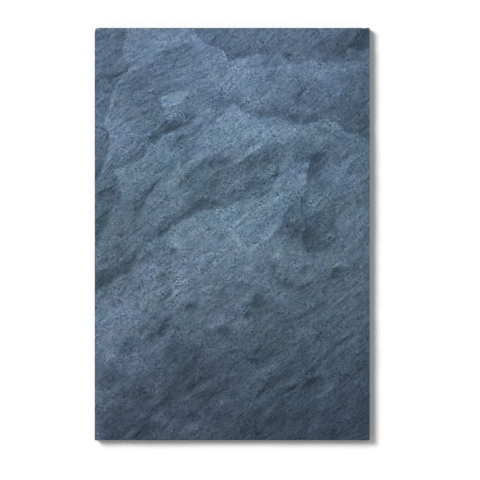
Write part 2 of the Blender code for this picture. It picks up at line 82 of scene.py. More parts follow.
BACK_LOW_DEPTH = 0.7        # of the low spots that grinding left in the back
BACK_LOW_MARGIN = 12.0      # they keep this far from the edges,
BACK_LOW_FADE = 20.0        # and reach their depth over this distance

COLUMNS = 246               # points of the riven face
ROWS = 369
BACK_SPACING = 15.0         # of the points on the back
SHARP_ANGLE = 0.9           # radians: edges of the mesh bent more than this stay crisp
ON_SIDE = 0.5               # a border point nearer than this to a side belongs to it
DIAGONAL = 0.7              # inwards along each axis at the broken corner
RIVEN, SAWN, GROUND = range(3)      # the materials' numbers: of the face, the sides and the back

# ---------------------------------------------------------------- tone and hue
RIVEN_GREY = 0.118          # brightness of the stone: its green, linear
SAWN_GREY = 0.150
GROUND_GREY = 0.145
RED = -0.70                 # hue of the stone
BLUE = 0.59
TONE_RED = 0.085            # how much the hue follows the tone
TONE_BLUE = -0.03
SKIN_RED = 0.20             # how much more it follows the tone of the fibres and flakes
SKIN_BLUE = -0.11
DRAWN_RED = 0.07            # and the tone of ledges, hollows, ridges, streaks and the chip
DRAWN_BLUE = -0.06
FINE_RED = 0.36             # how much it follows the fine tone; the light specks turn greyer as a painted sheen
FINE_BLUE = -0.22
FINE_BEND = -0.35           # holds back the strongest light of the fine tone, deepens its dark

RIM_TONE_AND_HIGHLIGHT_WIDTH = 11.0            # how far back the tone of a sheet's edge reaches: its own paler stone and a painted highlight
UPPER_TONE = 0.34           # of the upper part of the face
LOWER_SHADE = 1.22          # how much darker the lower part is,
SHADE_LEVEL = 185.0         # from this level down at the left edge,
SHADE_SLOPE = 0.18          # and this much higher for each millimetre to the right,
SHADE_FADE = 150.0          # growing to its full strength over this distance

# Slow changes of hue up the face: how strong, where, and over what distance.
BAND_RED, BAND_LEVEL, BAND_REACH = 0.03, 225, 40        # a band around this level
LOW_RED, LOW_RED_LEVEL, LOW_RED_FADE = 0.015, 150, 110  # from this level down
LOW_BLUE, LOW_BLUE_LEVEL, LOW_BLUE_FADE = 0.03, 200, 150
END_BLUE, MIDDLE_LEVEL, MIDDLE_TO_END = 0.07, 280, 300  # less blue in the middle than at the ends
LOW_DRAWN_LEVEL, LOW_DRAWN_FADE = 240, 80               # DRAWN_RED doubles from this level down

NEAR_EDGE_SHADE = 0.18      # painted shade along the lower and right edges of the face, which face away from the lamp,
NEAR_SHADE_REACH = 3.0      # over this distance
NEAR_EDGE_RED = 0.25        # the outermost millimetre of these edges is rusty,
NEAR_EDGE_BLUE = -0.25
FAR_EDGE_SHADE = 0.6        # and that of the upper and left edges is rusty and dark
FAR_EDGE_RED = 0.4
FAR_EDGE_BLUE = -0.35

# ---------------------------------------------------------------- unevenness of the split
# A layer of noise: its strength, its wavelengths along the two axes, and its seed. The axes are
# x and y, but for the fibres they run along and across them.
BORDER_X = [(5, 22, 22, 34), (3, 9, 9, 35)]             # how far the borders of patches and tints wander
BORDER_Y = [(5, 22, 22, 36), (3, 9, 9, 37)]
WAVER_X = [(6, 48, 48, 51), (2, 15, 15, 54)]            # how far the fibres wander
WAVER_Y = [(6, 48, 48, 52), (2, 15, 15, 55)]
FIBRE_HEIGHT = [(0.24, 24, 5.5, 41), (0.18, 13, 3.8, 42)]
LUMP_HEIGHT = [(0.20, 6.0, 5.2, 43), (0.12, 3.6, 3.6, 44)]
FIBRE_TONE = [(0.14, 24, 9, 49)]
SPOT_TONE = [(0.18, 11, 9, 48)]
CLUMP_TONE = [(0.24, 30, 15, 66), (0.24, 13, 7, 67), (0.16, 6.5, 4.6, 68)]
GRIT_STRENGTH = [(0.75, 13, 10, 64), (0.5, 34, 28, 65)]
BACK_LOWS = [(1.0, 70, 46, 61), (0.4, 24, 17, 62)]
MOTTLE = [(0.05, 60, 46, 0), (0.07, 32, 24, 1), (0.075, 14, 11, 2), (0.05, 5, 4, 3)]
RED_MOTTLE, BLUE_MOTTLE, BOTH_MOTTLE = 31, 81, 91       # first seeds
RED_MOTTLE_STRENGTH = 1.12
BOTH_MOTTLE_STRENGTH = 0.45

# Terraces and flakes: height or tone of one, the layer along and across the fibres that sets
# them out, and the layer that makes their edges ragged.
TERRACES = [(0.36, (1.9, 52, 18, 45), (0.22, 8, 7, 53)),
            (0.14, (1.5, 21, 8, 56), (0.25, 5, 4.4, 57))]
FLAKES = [(0.18, (1.0, 36, 14, 58), (0.4, 8, 6, 59)),
          (0.13, (1.0, 17, 8, 60), (0.4, 5, 4.5, 63))]
TERRACE_EDGE = 0.16         # how much the layers change up the steep edge of a terrace
FLAKE_EDGE = 0.22           # and across the edge of a flake

# The fibres of the split run at one angle around the upper left and at another elsewhere.
UPPER_LEFT_GRAIN = 23.0     # degrees
MAIN_GRAIN = 39.0
GRAIN_CENTRE = (95.0, 540.0)
GRAIN_REACH = (130.0, 100.0)

# An area where something is stronger or weaker: by how much, its middle, and its reach.
Area = namedtuple("Area", "name change x y reach_x reach_y")
SKIN_AREAS = [Area("upper_left", -0.5, 100, 525, 120, 90)]  # all but the height of the fibres
CLUMP_AREAS = [Area("lower_left", 1.0, 60, 60, 120, 80)]    # the clumps of tone

# Of the grit: rougher and smoother areas, and the one that is mostly fibres.
ROUGH_AREAS = [Area("left_groove", 0.18, 40, 215, 90, 70), Area("lens", 0.18, 255, 385, 90, 70)]
SMOOTH_AREAS = [Area("lower_left", -0.1, 125, 105, 60, 50), Area("right", -0.2, 378, 345, 40, 50)]
FIBRE_AREAS = [Area("upper_left", -0.12, 85, 500, 80, 60)]
CHIP_GRIT = [Area("chip", -0.1, 117, 497, 22, 10)]
TOP_CALM = 0.15             # how much weaker the grit is along the top,
TOP_LEVEL = 520.0           # from this level up
TOP_FADE = 60.0

# Of the streaks in the material.
STREAKS_ELSEWHERE = 0.3     # their strength outside these areas
STREAKY_AREAS = [Area("upper_left", 0.7, 90, 500, 110, 110),
                 Area("lower_right", 0.35, 300, 70, 130, 110)]
PLAIN_AREAS = [Area("lower_left", -0.6, 50, 60, 110, 100)]
CHIP_STREAKS = [Area("chip", -0.8, 117, 497, 22, 10)]

# ---------------------------------------------------------------- the map for baked materials
# Its width and height are 1. The riven face fills its left side, the back lies on the right below
# the four sides, and each side is a strip of its own.
MAP_MARGIN = 0.003
FACE_MAP_WIDTH = 0.66
FACE_MAP_HEIGHT = 0.99
BACK_MAP_START = 0.675
BACK_MAP_WIDTH = 0.32
BACK_MAP_HEIGHT = 0.48
STRIPS_X = 0.68
STRIPS_Y = 0.50
STRIP_STEP = 0.078          # from one side's strip to the next
STRIP_WIDTH = 0.07          # of THICKNESS
STRIP_HEIGHT = 0.48         # of LENGTH

# ---------------------------------------------------------------- floor, light and camera, metres
FLOOR_HALF = 4.0
FLOOR_COLOUR = (0.925, 0.918, 0.910, 1)
LIGHT_FROM = (-0.81, 0.59)          # across the floor, towards the lamp
LIGHT_ELEVATION = 49.0              # degrees above the floor
LIGHT_STRENGTH = 2.98
LIGHT_ANGLE = 24.0                  # how wide the soft lamp looks from the slab, in degrees
SKY_STRENGTH = 0.41
CAMERA_PLACE = (0.0114, -0.0086)
CAMERA_LENS = 200.0                 # in millimetres, as the sensor is
CAMERA_SENSOR = 36.0
CAMERA_REACH = 50.0
FRAME_WIDTH = 0.6983                # how much of the slab's plane the picture spans

# ---------------------------------------------------------------- the features of the riven face
# A ledge's line is walked with the higher sheet on its left.
# face: width of the broken edge; step: how far the sheet stands up at its edge, and run: how far
# back it stays up; dip: depth of the scoop at its foot, and reach: how far out the scoop goes.
# rim: tone of the sheet along its edge, partly its own paler stone and partly a painted highlight,
# as the edges mostly face the lamp; shade: painted shade taken off the foot.
Ledge = namedtuple("Ledge", "name face step run dip reach rim shade line")

# A hollow is let in inside its outline. wall: width of its upper left slope; apron: of its
# lower right slope; shade: painted shade taken off its floor.
Hollow = namedtuple("Hollow", "name depth wall apron shade outline")

# A ridge stands up along its line, and a groove is a ridge of negative height. Its tone is
# paler along a ridge, as a painted highlight, and darker in a groove, as painted shade.
Ridge = namedtuple("Ridge", "name height width tone line")

# A streak is a straight bundle of fibres that stands up and is pale (tone above 0) or has split
# off and is dark. width: half of it, as for a ridge.
Streak = namedtuple("Streak", "tone width start_x start_y end_x end_y")

# A patch is stone of another tone: half its length along and across, and the direction of its
# long axis in degrees.
Patch = namedtuple("Patch", "name tone along across angle x y")

# A tint is stone of another hue: stops of red and of blue, and its place as for a patch.
Tint = namedtuple("Tint", "name red blue along across angle x y")

# The pale chip is a small separate sheet that still lies on the main one.
CHIP_THICKNESS = 0.8
CHIP_EDGE = 1.3             # width of its broken edge
CHIP_TONE = 0.72
CHIP = [(96, 496), (100, 500), (107, 502), (120, 507), (132, 508), (138, 506), (134, 499),
        (128, 492), (119, 488), (108, 485), (103, 484), (99, 490)]

LEDGES = [
    Ledge("strip_edge", 1.6, 1.5, 90, 0.5, 14, 0.25, 0.25, [(48, 604), (48, 591), (44, 580),
        (42, 566), (41, 556), (48, 550), (54, 545), (49, 538), (43, 533), (36, 523), (29, 511),
        (24, 499), (22, 487), (21, 477), (16, 470), (15, 462), (20, 451), (21, 441), (21, 430),
        (20, 416), (16, 404), (11, 392), (5, 381), (-3, 372)]),
    Ledge("top_right_edge", 1.6, 1.8, 80, 0.8, 22, 0.25, 0.3, [(404, 551), (390, 552), (380, 553),
        (369, 551), (358, 548), (350, 549), (340, 550), (328, 550), (318, 552), (308, 551),
        (297, 547), (287, 548), (281, 553), (276, 559), (269, 563), (262, 562), (255, 559),
        (246, 561), (238, 562), (231, 560), (224, 557), (217, 555), (209, 556), (203, 552),
        (197, 551), (194, 556), (191, 560), (187, 567), (180, 571), (170, 574), (163, 579),
        (157, 582), (149, 588), (146, 604)]),
    Ledge("sheet_c_edge", 1.6, 2.0, 60, 1.4, 14, 0.3, 0.4, [(152, 474), (145, 464), (137, 458),
        (125, 453), (113, 448), (102, 444), (95, 439), (88, 432), (80, 427), (76, 420), (74, 413),
        (66, 408), (52, 402), (38, 397), (27, 394), (30, 387), (34, 381), (35, 371), (37, 364),
        (41, 357), (38, 348)]),
    Ledge("peak_edge", 1.6, 1.6, 60, 0.7, 14, 0.35, 0.2, [(301, 442), (296, 450), (289, 457),
        (284, 463), (279, 467), (272, 469), (264, 470), (256, 469), (247, 468), (239, 468),
        (231, 472), (223, 477), (215, 481), (209, 487), (204, 489), (199, 487), (194, 482),
        (191, 477), (184, 471), (177, 464), (170, 457), (163, 450), (155, 443), (147, 437),
        (139, 431)]),
    Ledge("right_sheet_edge", 1.6, 1.2, 50, 1.0, 30, 0.35, 0.25, [(404, 438), (393, 441), (385, 446),
        (377, 443), (370, 446), (364, 451), (359, 459), (352, 465), (342, 467), (333, 468),
        (326, 465), (318, 463), (309, 460), (302, 454)]),
    Ledge("sheet_f_edge", 1.6, 2.0, 70, 1.2, 12, 0.3, 0.4, [(272, 390), (266, 380), (260, 368),
        (252, 358), (243, 353), (233, 352), (223, 352), (214, 349), (205, 345), (196, 340),
        (185, 337), (172, 336), (162, 335), (151, 332), (144, 328), (137, 323), (128, 318),
        (119, 314), (112, 310), (109, 305), (102, 300), (95, 296), (86, 291), (78, 286),
        (70, 281)]),
    Ledge("left_groove_edge", 2.5, 0.8, 60, 0.8, 14, 0.1, 0.35, [(74, 274), (66, 264), (59, 255),
        (53, 246), (46, 241), (39, 238), (32, 234), (26, 229), (20, 225), (11, 221), (5, 221),
        (-3, 217)]),
    Ledge("right_hollow_edge", 2.0, 0.9, 50, 1.2, 18, 0.1, 0.4, [(345, 347), (352, 337), (351, 325),
        (350, 312), (353, 303), (354, 295), (350, 286), (343, 279), (334, 276), (326, 275),
        (318, 273), (312, 273), (305, 278), (300, 284)]),
    Ledge("inner_sheet_edge", 1.6, 0.9, 28, 0.9, 10, 0.15, 0.35, [(99, 382), (93, 376), (87, 367),
        (80, 358), (75, 352), (75, 343), (79, 334)]),
    Ledge("corner_foot_edge", 1.6, 0.9, 20, 0.8, 10, 0.1, 0.3, [(404, 575), (397, 568), (385, 567),
        (377, 568), (371, 570), (364, 565)]),
    Ledge("fibre_edge", 5.0, 0.5, 24, 0.5, 30, 0.05, 0.2, [(57, 543), (64, 541), (71, 546),
        (80, 553), (92, 560), (103, 570), (115, 577), (127, 580), (138, 577), (148, 569),
        (157, 558)]),
    Ledge("lens_edge", 5.0, 0.7, 45, 0.4, 26, 0.2, 0.15, [(118, 366), (124, 373), (126, 382),
        (133, 390), (141, 394), (150, 399), (157, 403), (164, 411), (172, 415), (184, 416),
        (190, 411), (200, 413), (210, 409), (219, 411), (228, 416), (237, 423), (244, 427),
        (257, 430), (268, 431), (277, 427)]),
    Ledge("right_hollow_bank", 4.0, 0.8, 35, 0.7, 26, 0.1, 0.2, [(262, 299), (268, 305),
        (275, 315), (273, 324), (279, 331), (286, 340), (295, 343)]),
    Ledge("right_hollow_crack", 2.2, 0.7, 20, 0.7, 12, 0.05, 0.4, [(305, 280), (302, 291),
        (303, 300), (308, 306), (307, 314), (306, 323), (301, 331), (300, 341), (300, 351),
        (303, 358), (311, 364), (317, 369)]),
    Ledge("pit_edge", 2.5, 1.1, 26, 0.9, 18, 0.2, 0.4, [(305, 370), (310, 378), (311, 386),
        (312, 394), (313, 400), (309, 405), (302, 409), (292, 411)]),
    Ledge("scallop_edge", 3.0, 0.9, 26, 0.8, 10, 0.1, 0.45, [(254, 265), (258, 259), (258, 252),
        (258, 246), (263, 239), (271, 231), (280, 227), (289, 229), (299, 223), (307, 224),
        (314, 231), (319, 240)]),
    Ledge("upper_crack", 2.5, 0.9, 20, 0.9, 14, 0.1, 0.35, [(296, 488), (295, 500), (301, 508),
        (300, 515), (295, 525), (291, 538)]),
    Ledge("corner_crack", 4.0, 0.7, 26, 0.7, 16, 0.0, 0.3, [(350, 558), (361, 566), (370, 573),
        (378, 582), (385, 592), (392, 604)]),
    Ledge("left_black_edge", 3.0, 0.9, 26, 0.9, 22, 0.1, 0.45, [(-3, 356), (10, 362), (22, 368),
        (33, 371)]),
    Ledge("left_crack", 2.0, 0.7, 26, 0.9, 12, 0.0, 0.4, [(-3, 527), (8, 529), (20, 529), (33, 531),
        (43, 536), (50, 539)]),
    Ledge("left_tab", 1.6, 0.6, 20, 0.7, 14, 0.0, 0.3, [(20, 425), (20, 440), (18, 448), (14, 453),
        (8, 455), (-3, 455)]),
    Ledge("patch_edge", 4.0, 0.5, 24, 0.4, 14, 0.25, 0.1, [(162, 160), (172, 163), (180, 165),
        (187, 169), (192, 176), (193, 186)]),
    Ledge("bright_right_edge", 2.5, 0.9, 22, 0.7, 18, 0.15, 0.3, [(358, 376), (366, 386),
        (369, 395), (374, 402), (372, 412)]),
    Ledge("knob_edge", 2.5, 0.9, 16, 0.9, 9, 0.3, 0.35, [(104, 285), (110, 280), (118, 278),
        (125, 274), (132, 275)]),
    Ledge("sheet_c_step", 2.5, 0.7, 22, 0.7, 10, 0.1, 0.3, [(160, 464), (157, 454), (149, 446),
        (142, 440), (133, 433), (123, 428), (110, 425)]),
]

HOLLOWS = [
    Hollow("upper_hollow", 1.2, 9, 9, 0.5, [(73, 436), (80, 447), (91, 455), (103, 462),
        (114, 466), (125, 466), (134, 466), (143, 473), (150, 481), (149, 471), (141, 461),
        (129, 454), (116, 449), (102, 445), (94, 438), (86, 430)]),
    Hollow("upper_hollow_tail", 0.7, 6, 10, 0.3, [(40, 401), (48, 409), (58, 416), (66, 424),
        (77, 428), (74, 420), (66, 411), (53, 403)]),
    Hollow("middle_groove", 1.1, 7, 8, 0.45, [(90, 297), (96, 305), (104, 312), (113, 321),
        (122, 324), (131, 333), (140, 343), (148, 350), (158, 353), (172, 352), (186, 347),
        (180, 340), (162, 338), (148, 332), (138, 325), (128, 319), (118, 314), (110, 306),
        (102, 299)]),
    Hollow("lens_west", 0.8, 9, 14, 0.25, [(127, 374), (131, 385), (142, 391), (152, 396),
        (164, 401), (174, 410), (188, 412), (192, 403), (181, 392), (178, 380), (173, 368),
        (165, 361), (150, 358), (140, 365)]),
    Hollow("lens_east", 0.8, 10, 12, 0.2, [(206, 400), (216, 408), (228, 414), (238, 421),
        (246, 425), (262, 427), (268, 420), (262, 410), (262, 403), (252, 399), (240, 396),
        (226, 395), (214, 394)]),
    Hollow("lens_south", 0.7, 8, 14, 0.35, [(195, 352), (200, 362), (215, 368), (228, 374),
        (232, 384), (243, 386), (247, 377), (243, 366), (235, 360), (222, 357), (208, 353)]),
    Hollow("pit", 1.5, 9, 14, 0.5, [(306, 404), (309, 414), (318, 420), (332, 421), (341, 416),
        (340, 406), (335, 396), (331, 386), (324, 379), (315, 379), (311, 387), (312, 398),
        (310, 404)]),
    Hollow("pit_core", 0.7, 6, 9, 0.45, [(311, 406), (315, 413), (324, 417), (336, 416),
        (337, 410), (330, 404), (319, 403)]),
    Hollow("pit_front", 0.9, 7, 10, 0.4, [(287, 410), (292, 419), (301, 422), (311, 416),
        (311, 408), (303, 403), (294, 403)]),
    Hollow("right_hollow_west", 1.1, 12, 16, 0.45, [(275, 325), (281, 334), (291, 337),
        (299, 333), (305, 320), (306, 306), (301, 290), (289, 287), (279, 292), (272, 300),
        (277, 311)]),
    Hollow("right_hollow_core", 1.3, 11, 15, 0.55, [(300, 302), (306, 312), (317, 312), (324, 301),
        (332, 293), (344, 288), (347, 279), (336, 273), (324, 271), (313, 270), (304, 277),
        (299, 290)]),
    Hollow("right_hollow_east", 0.9, 16, 30, 0.33, [(307, 327), (318, 333), (329, 338), (342, 345),
        (353, 343), (358, 329), (360, 312), (362, 298), (352, 285), (332, 287), (318, 300),
        (309, 314)]),
    Hollow("left_groove", 1.3, 12, 9, 0.6, [(-4, 246), (9, 251), (17, 254), (28, 257), (39, 261),
        (48, 264), (57, 267), (64, 270), (62, 262), (58, 253), (51, 245), (41, 239), (33, 235),
        (26, 229), (19, 224), (10, 219), (-4, 213)]),
    Hollow("left_wedge", 1.6, 6, 8, 0.75, [(-4, 320), (8, 328), (16, 334), (25, 339), (26, 329),
        (23, 318), (18, 309), (12, 301), (8, 292), (-4, 282)]),
    Hollow("left_dark", 0.8, 8, 12, 0.35, [(-4, 356), (12, 362), (25, 368), (33, 368), (38, 356),
        (34, 344), (22, 341), (8, 346), (-4, 340)]),
    Hollow("left_spot", 0.8, 4, 6, 0.5, [(25, 275), (29, 283), (35, 287), (38, 283), (32, 277)]),
    Hollow("inner_foot", 0.8, 5, 8, 0.35, [(56, 343), (60, 351), (70, 353), (74, 350), (73, 343),
        (66, 331), (60, 330), (57, 336)]),
    Hollow("top_slot", 1.0, 4, 6, 0.5, [(168, 573), (170, 579), (176, 588), (180, 590), (179, 580),
        (175, 574)]),
    Hollow("top_gap", 0.8, 6, 8, 0.4, [(187, 568), (190, 574), (198, 574), (203, 566), (201, 554),
        (195, 555), (192, 562)]),
    Hollow("top_notch", 1.0, 3, 5, 0.6, [(275, 566), (279, 563), (288, 562), (290, 558),
        (281, 556)]),
    Hollow("corner_hollow", 1.0, 9, 12, 0.4, [(372, 571), (380, 580), (387, 590), (393, 604),
        (404, 604), (404, 574), (396, 566), (384, 566)]),
    Hollow("peak_wedge", 1.2, 5, 8, 0.6, [(280, 474), (285, 473), (293, 475), (299, 473),
        (298, 463), (297, 457), (291, 461), (285, 468)]),
    Hollow("sheet_c_spot", 0.7, 4, 6, 0.4, [(119, 433), (123, 440), (129, 448), (132, 444),
        (128, 437), (124, 433)]),
    Hollow("low_slot", 1.1, 6, 10, 0.65, [(90, 151), (93, 160), (97, 170), (103, 178), (112, 178),
        (112, 168), (108, 158), (101, 150)]),
    Hollow("low_spot_138", 0.8, 4, 6, 0.45, [(132, 191), (134, 198), (141, 199), (144, 195),
        (139, 190)]),
    Hollow("low_spot_236", 1.1, 6, 9, 0.55, [(225, 197), (229, 204), (233, 212), (242, 212),
        (249, 207), (250, 198), (244, 190), (234, 191)]),
    Hollow("low_spot_222", 0.8, 5, 6, 0.4, [(217, 178), (218, 187), (223, 190), (228, 185),
        (226, 178)]),
    Hollow("patch_foot", 0.9, 5, 7, 0.45, [(176, 156), (181, 162), (190, 165), (200, 163),
        (202, 154), (192, 150)]),
    Hollow("knob_foot", 0.9, 3, 5, 0.4, [(107, 281), (111, 282), (117, 279), (123, 275), (116, 271),
        (111, 271)]),
    Hollow("right_spot_350", 1.0, 6, 8, 0.5, [(342, 240), (346, 249), (353, 253), (361, 251),
        (361, 241), (357, 233), (348, 234)]),
    Hollow("low_pit", 1.2, 6, 9, 0.6, [(300, 73), (304, 82), (311, 90), (322, 94), (331, 91),
        (329, 84), (321, 77), (309, 73)]),
    Hollow("low_dip_230", 0.8, 5, 7, 0.4, [(220, 118), (228, 121), (240, 116), (240, 111),
        (229, 111)]),
    Hollow("low_dip_158", 0.8, 5, 7, 0.4, [(151, 68), (157, 74), (166, 72), (168, 65), (161, 57),
        (154, 61)]),
    Hollow("low_dip_70", 0.8, 6, 8, 0.4, [(62, 75), (70, 76), (78, 68), (74, 63), (64, 66)]),
    Hollow("lens_east_spot", 0.7, 4, 5, 0.55, [(262, 383), (263, 390), (267, 395), (270, 389), (267, 383)]),
    Hollow("left_spot_upper", 0.5, 4, 6, 0.3, [(37, 300), (38, 308), (42, 309), (43, 302)]),
    Hollow("top_left_notch", 0.8, 3, 5, 0.5, [(39, 588), (41, 594), (42, 604), (46, 604), (46, 592),
        (43, 586)]),
    Hollow("wedge_315", 0.6, 5, 8, 0.35, [(307, 463), (308, 471), (317, 472), (323, 469),
        (316, 465)]),
    Hollow("spot_105_562", 0.5, 5, 6, 0.2, [(101, 561), (104, 566), (110, 567), (112, 562),
        (106, 559)]),
    Hollow("spot_139_559", 0.6, 2, 3, 0.5, [(138, 557), (138, 561), (141, 562), (142, 558)]),
    Hollow("spot_133_473", 0.6, 3, 4, 0.6, [(130, 475), (133, 476), (136, 472), (134, 469)]),
    Hollow("chip_foot", 0.7, 3, 4, 0.4, [(129, 489), (133, 497), (138, 501), (138, 495),
        (135, 489)]),
    Hollow("spot_72_162", 0.5, 4, 5, 0.3, [(67, 159), (70, 164), (77, 165), (76, 160)]),
    Hollow("spot_101_238", 0.7, 3, 5, 0.4, [(96, 237), (100, 242), (105, 245), (106, 240),
        (101, 233)]),
    Hollow("spot_104_206", 0.6, 3, 5, 0.35, [(97, 201), (101, 207), (108, 212), (109, 207),
        (102, 200)]),
    Hollow("notch_167_306", 0.6, 2, 3, 0.5, [(166, 302), (166, 310), (169, 311), (169, 303)]),
    Hollow("spot_262_250", 0.7, 4, 6, 0.45, [(257, 250), (258, 260), (263, 261), (265, 250),
        (264, 241), (259, 240)]),
    Hollow("scallop_foot", 0.7, 5, 8, 0.2, [(269, 230), (276, 234), (286, 234), (285, 227),
        (278, 223), (272, 223)]),
    Hollow("spot_306_252", 0.5, 3, 4, 0.3, [(304, 247), (305, 258), (309, 258), (309, 249)]),
    Hollow("low_360_62", 0.7, 4, 6, 0.35, [(353, 59), (356, 66), (366, 67), (365, 61)]),
    Hollow("low_388_56", 0.7, 4, 6, 0.55, [(380, 51), (386, 57), (397, 60), (392, 54)]),
]

RIDGES = [
    Ridge("scoop_rim", 0.8, 4, 0.35, [(199, 312), (202, 303), (208, 292), (214, 284), (221, 279),
        (228, 276), (236, 277), (241, 284), (248, 291), (257, 300), (262, 309)]),
    Ridge("inner_band", -0.7, 6, -0.28, [(97, 384), (86, 370), (75, 355), (66, 338), (60, 320),
        (54, 300)]),
    Ridge("knob", 0.8, 4.5, 0.2, [(115, 294), (117, 289), (121, 283), (126, 277)]),
    Ridge("low_ridge_a", 1.2, 9, 0.35, [(212, 62), (222, 77), (233, 90), (248, 101), (264, 116),
        (270, 122)]),
    Ridge("low_ridge_c", 0.7, 4, 0.3, [(262, 73), (274, 81), (293, 91), (306, 100)]),
    Ridge("low_ridge_d", 0.7, 7, 0.15, [(322, 58), (335, 70), (348, 82), (357, 92)]),
    Ridge("low_ridge_e", 0.7, 5, 0.3, [(150, 70), (160, 80), (171, 87), (190, 92), (212, 98)]),
    Ridge("low_ridge_g", 0.6, 5, 0.25, [(348, 122), (361, 130), (374, 138), (390, 150)]),
    Ridge("low_ridge_i", 0.7, 5, 0.3, [(300, 46), (314, 55), (332, 66)]),
    Ridge("low_groove_a", -0.7, 3, -0.5, [(334, 121), (343, 129), (354, 138), (365, 146),
        (377, 154)]),
    Ridge("low_groove_b", -0.8, 4, -0.35, [(235, 64), (245, 75), (253, 83), (262, 93)]),
    Ridge("low_groove_c", -0.8, 4, -0.35, [(262, 64), (276, 70), (290, 76), (300, 82)]),
    Ridge("scoop_rim_branch", 0.5, 3, 0.25, [(199, 311), (208, 316), (216, 322)]),
    Ridge("sheet_f_spot", 0.6, 4, 0.3, [(152, 304), (159, 304), (167, 299)]),
    Ridge("sheet_f_spot_upper", 0.6, 4, 0.25, [(161, 322), (166, 319)]),
    Ridge("lens_rim_west", 0.6, 3.5, 0.25, [(203, 421), (211, 425)]),
    Ridge("lens_rim_east", 0.6, 4, 0.25, [(222, 421), (232, 425), (241, 430)]),
    Ridge("bright_spot_262_268", 0.7, 5, 0.3, [(254, 268), (262, 268), (272, 272)]),
    Ridge("bright_spot_244_542", 0.6, 3.5, 0.3, [(230, 536), (240, 540), (248, 544)]),
    Ridge("low_ridge_b", 0.6, 3, 0.3, [(270, 118), (279, 123), (289, 129), (302, 142)]),
    Ridge("low_ridge_f", 0.5, 2.5, 0.35, [(318, 94), (326, 100), (335, 109)]),
    Ridge("low_ridge_h", 0.3, 3, 0.1, [(226, 22), (240, 31), (258, 45)]),
    Ridge("low_ridge_j", 0.6, 4, 0.3, [(324, 42), (332, 50), (336, 60)]),
    Ridge("low_ridge_k", 0.6, 4, 0.3, [(362, 29), (368, 35), (375, 38)]),
    Ridge("line_260_180", 0.5, 3, 0.25, [(243, 170), (250, 178), (258, 182), (270, 188)]),
    Ridge("tab_crack", -0.6, 1.2, -0.9, [(-9, 454), (4, 454), (11, 454), (16, 451), (19, 446),
        (20.5, 438), (20.5, 430), (19, 418)]),
    Ridge("strip_rim", 0.5, 3, 0.28, [(23, 472), (25, 486), (28, 501), (34, 515), (42, 527)]),
    Ridge("top_left_groove", -0.7, 2.5, -0.4, [(2, 581), (16, 587), (33, 594)]),
    Ridge("low_groove_d", -0.7, 4, -0.3, [(358, 90), (368, 95), (378, 101)]),
    Ridge("low_groove_e", -0.7, 3, -0.35, [(374, 172), (384, 177), (396, 181)]),
    Ridge("low_groove_f", -0.8, 4, -0.35, [(306, 90), (314, 99), (326, 107)]),
    Ridge("fibre_groove_a", -0.5, 2.5, -0.3, [(45, 498), (57, 503), (66, 508)]),
    Ridge("fibre_groove_b", -0.35, 2.5, -0.15, [(70, 500), (80, 503), (93, 503), (102, 507), (118, 512)]),
    Ridge("fibre_groove_c", -0.5, 2.5, -0.3, [(58, 489), (68, 490), (82, 497)]),
    Ridge("fibre_groove_d", -0.5, 2.5, -0.3, [(70, 476), (80, 478), (92, 484)]),
    Ridge("fibre_groove_e", -0.5, 2.5, -0.25, [(78, 458), (88, 465), (100, 471)]),
]

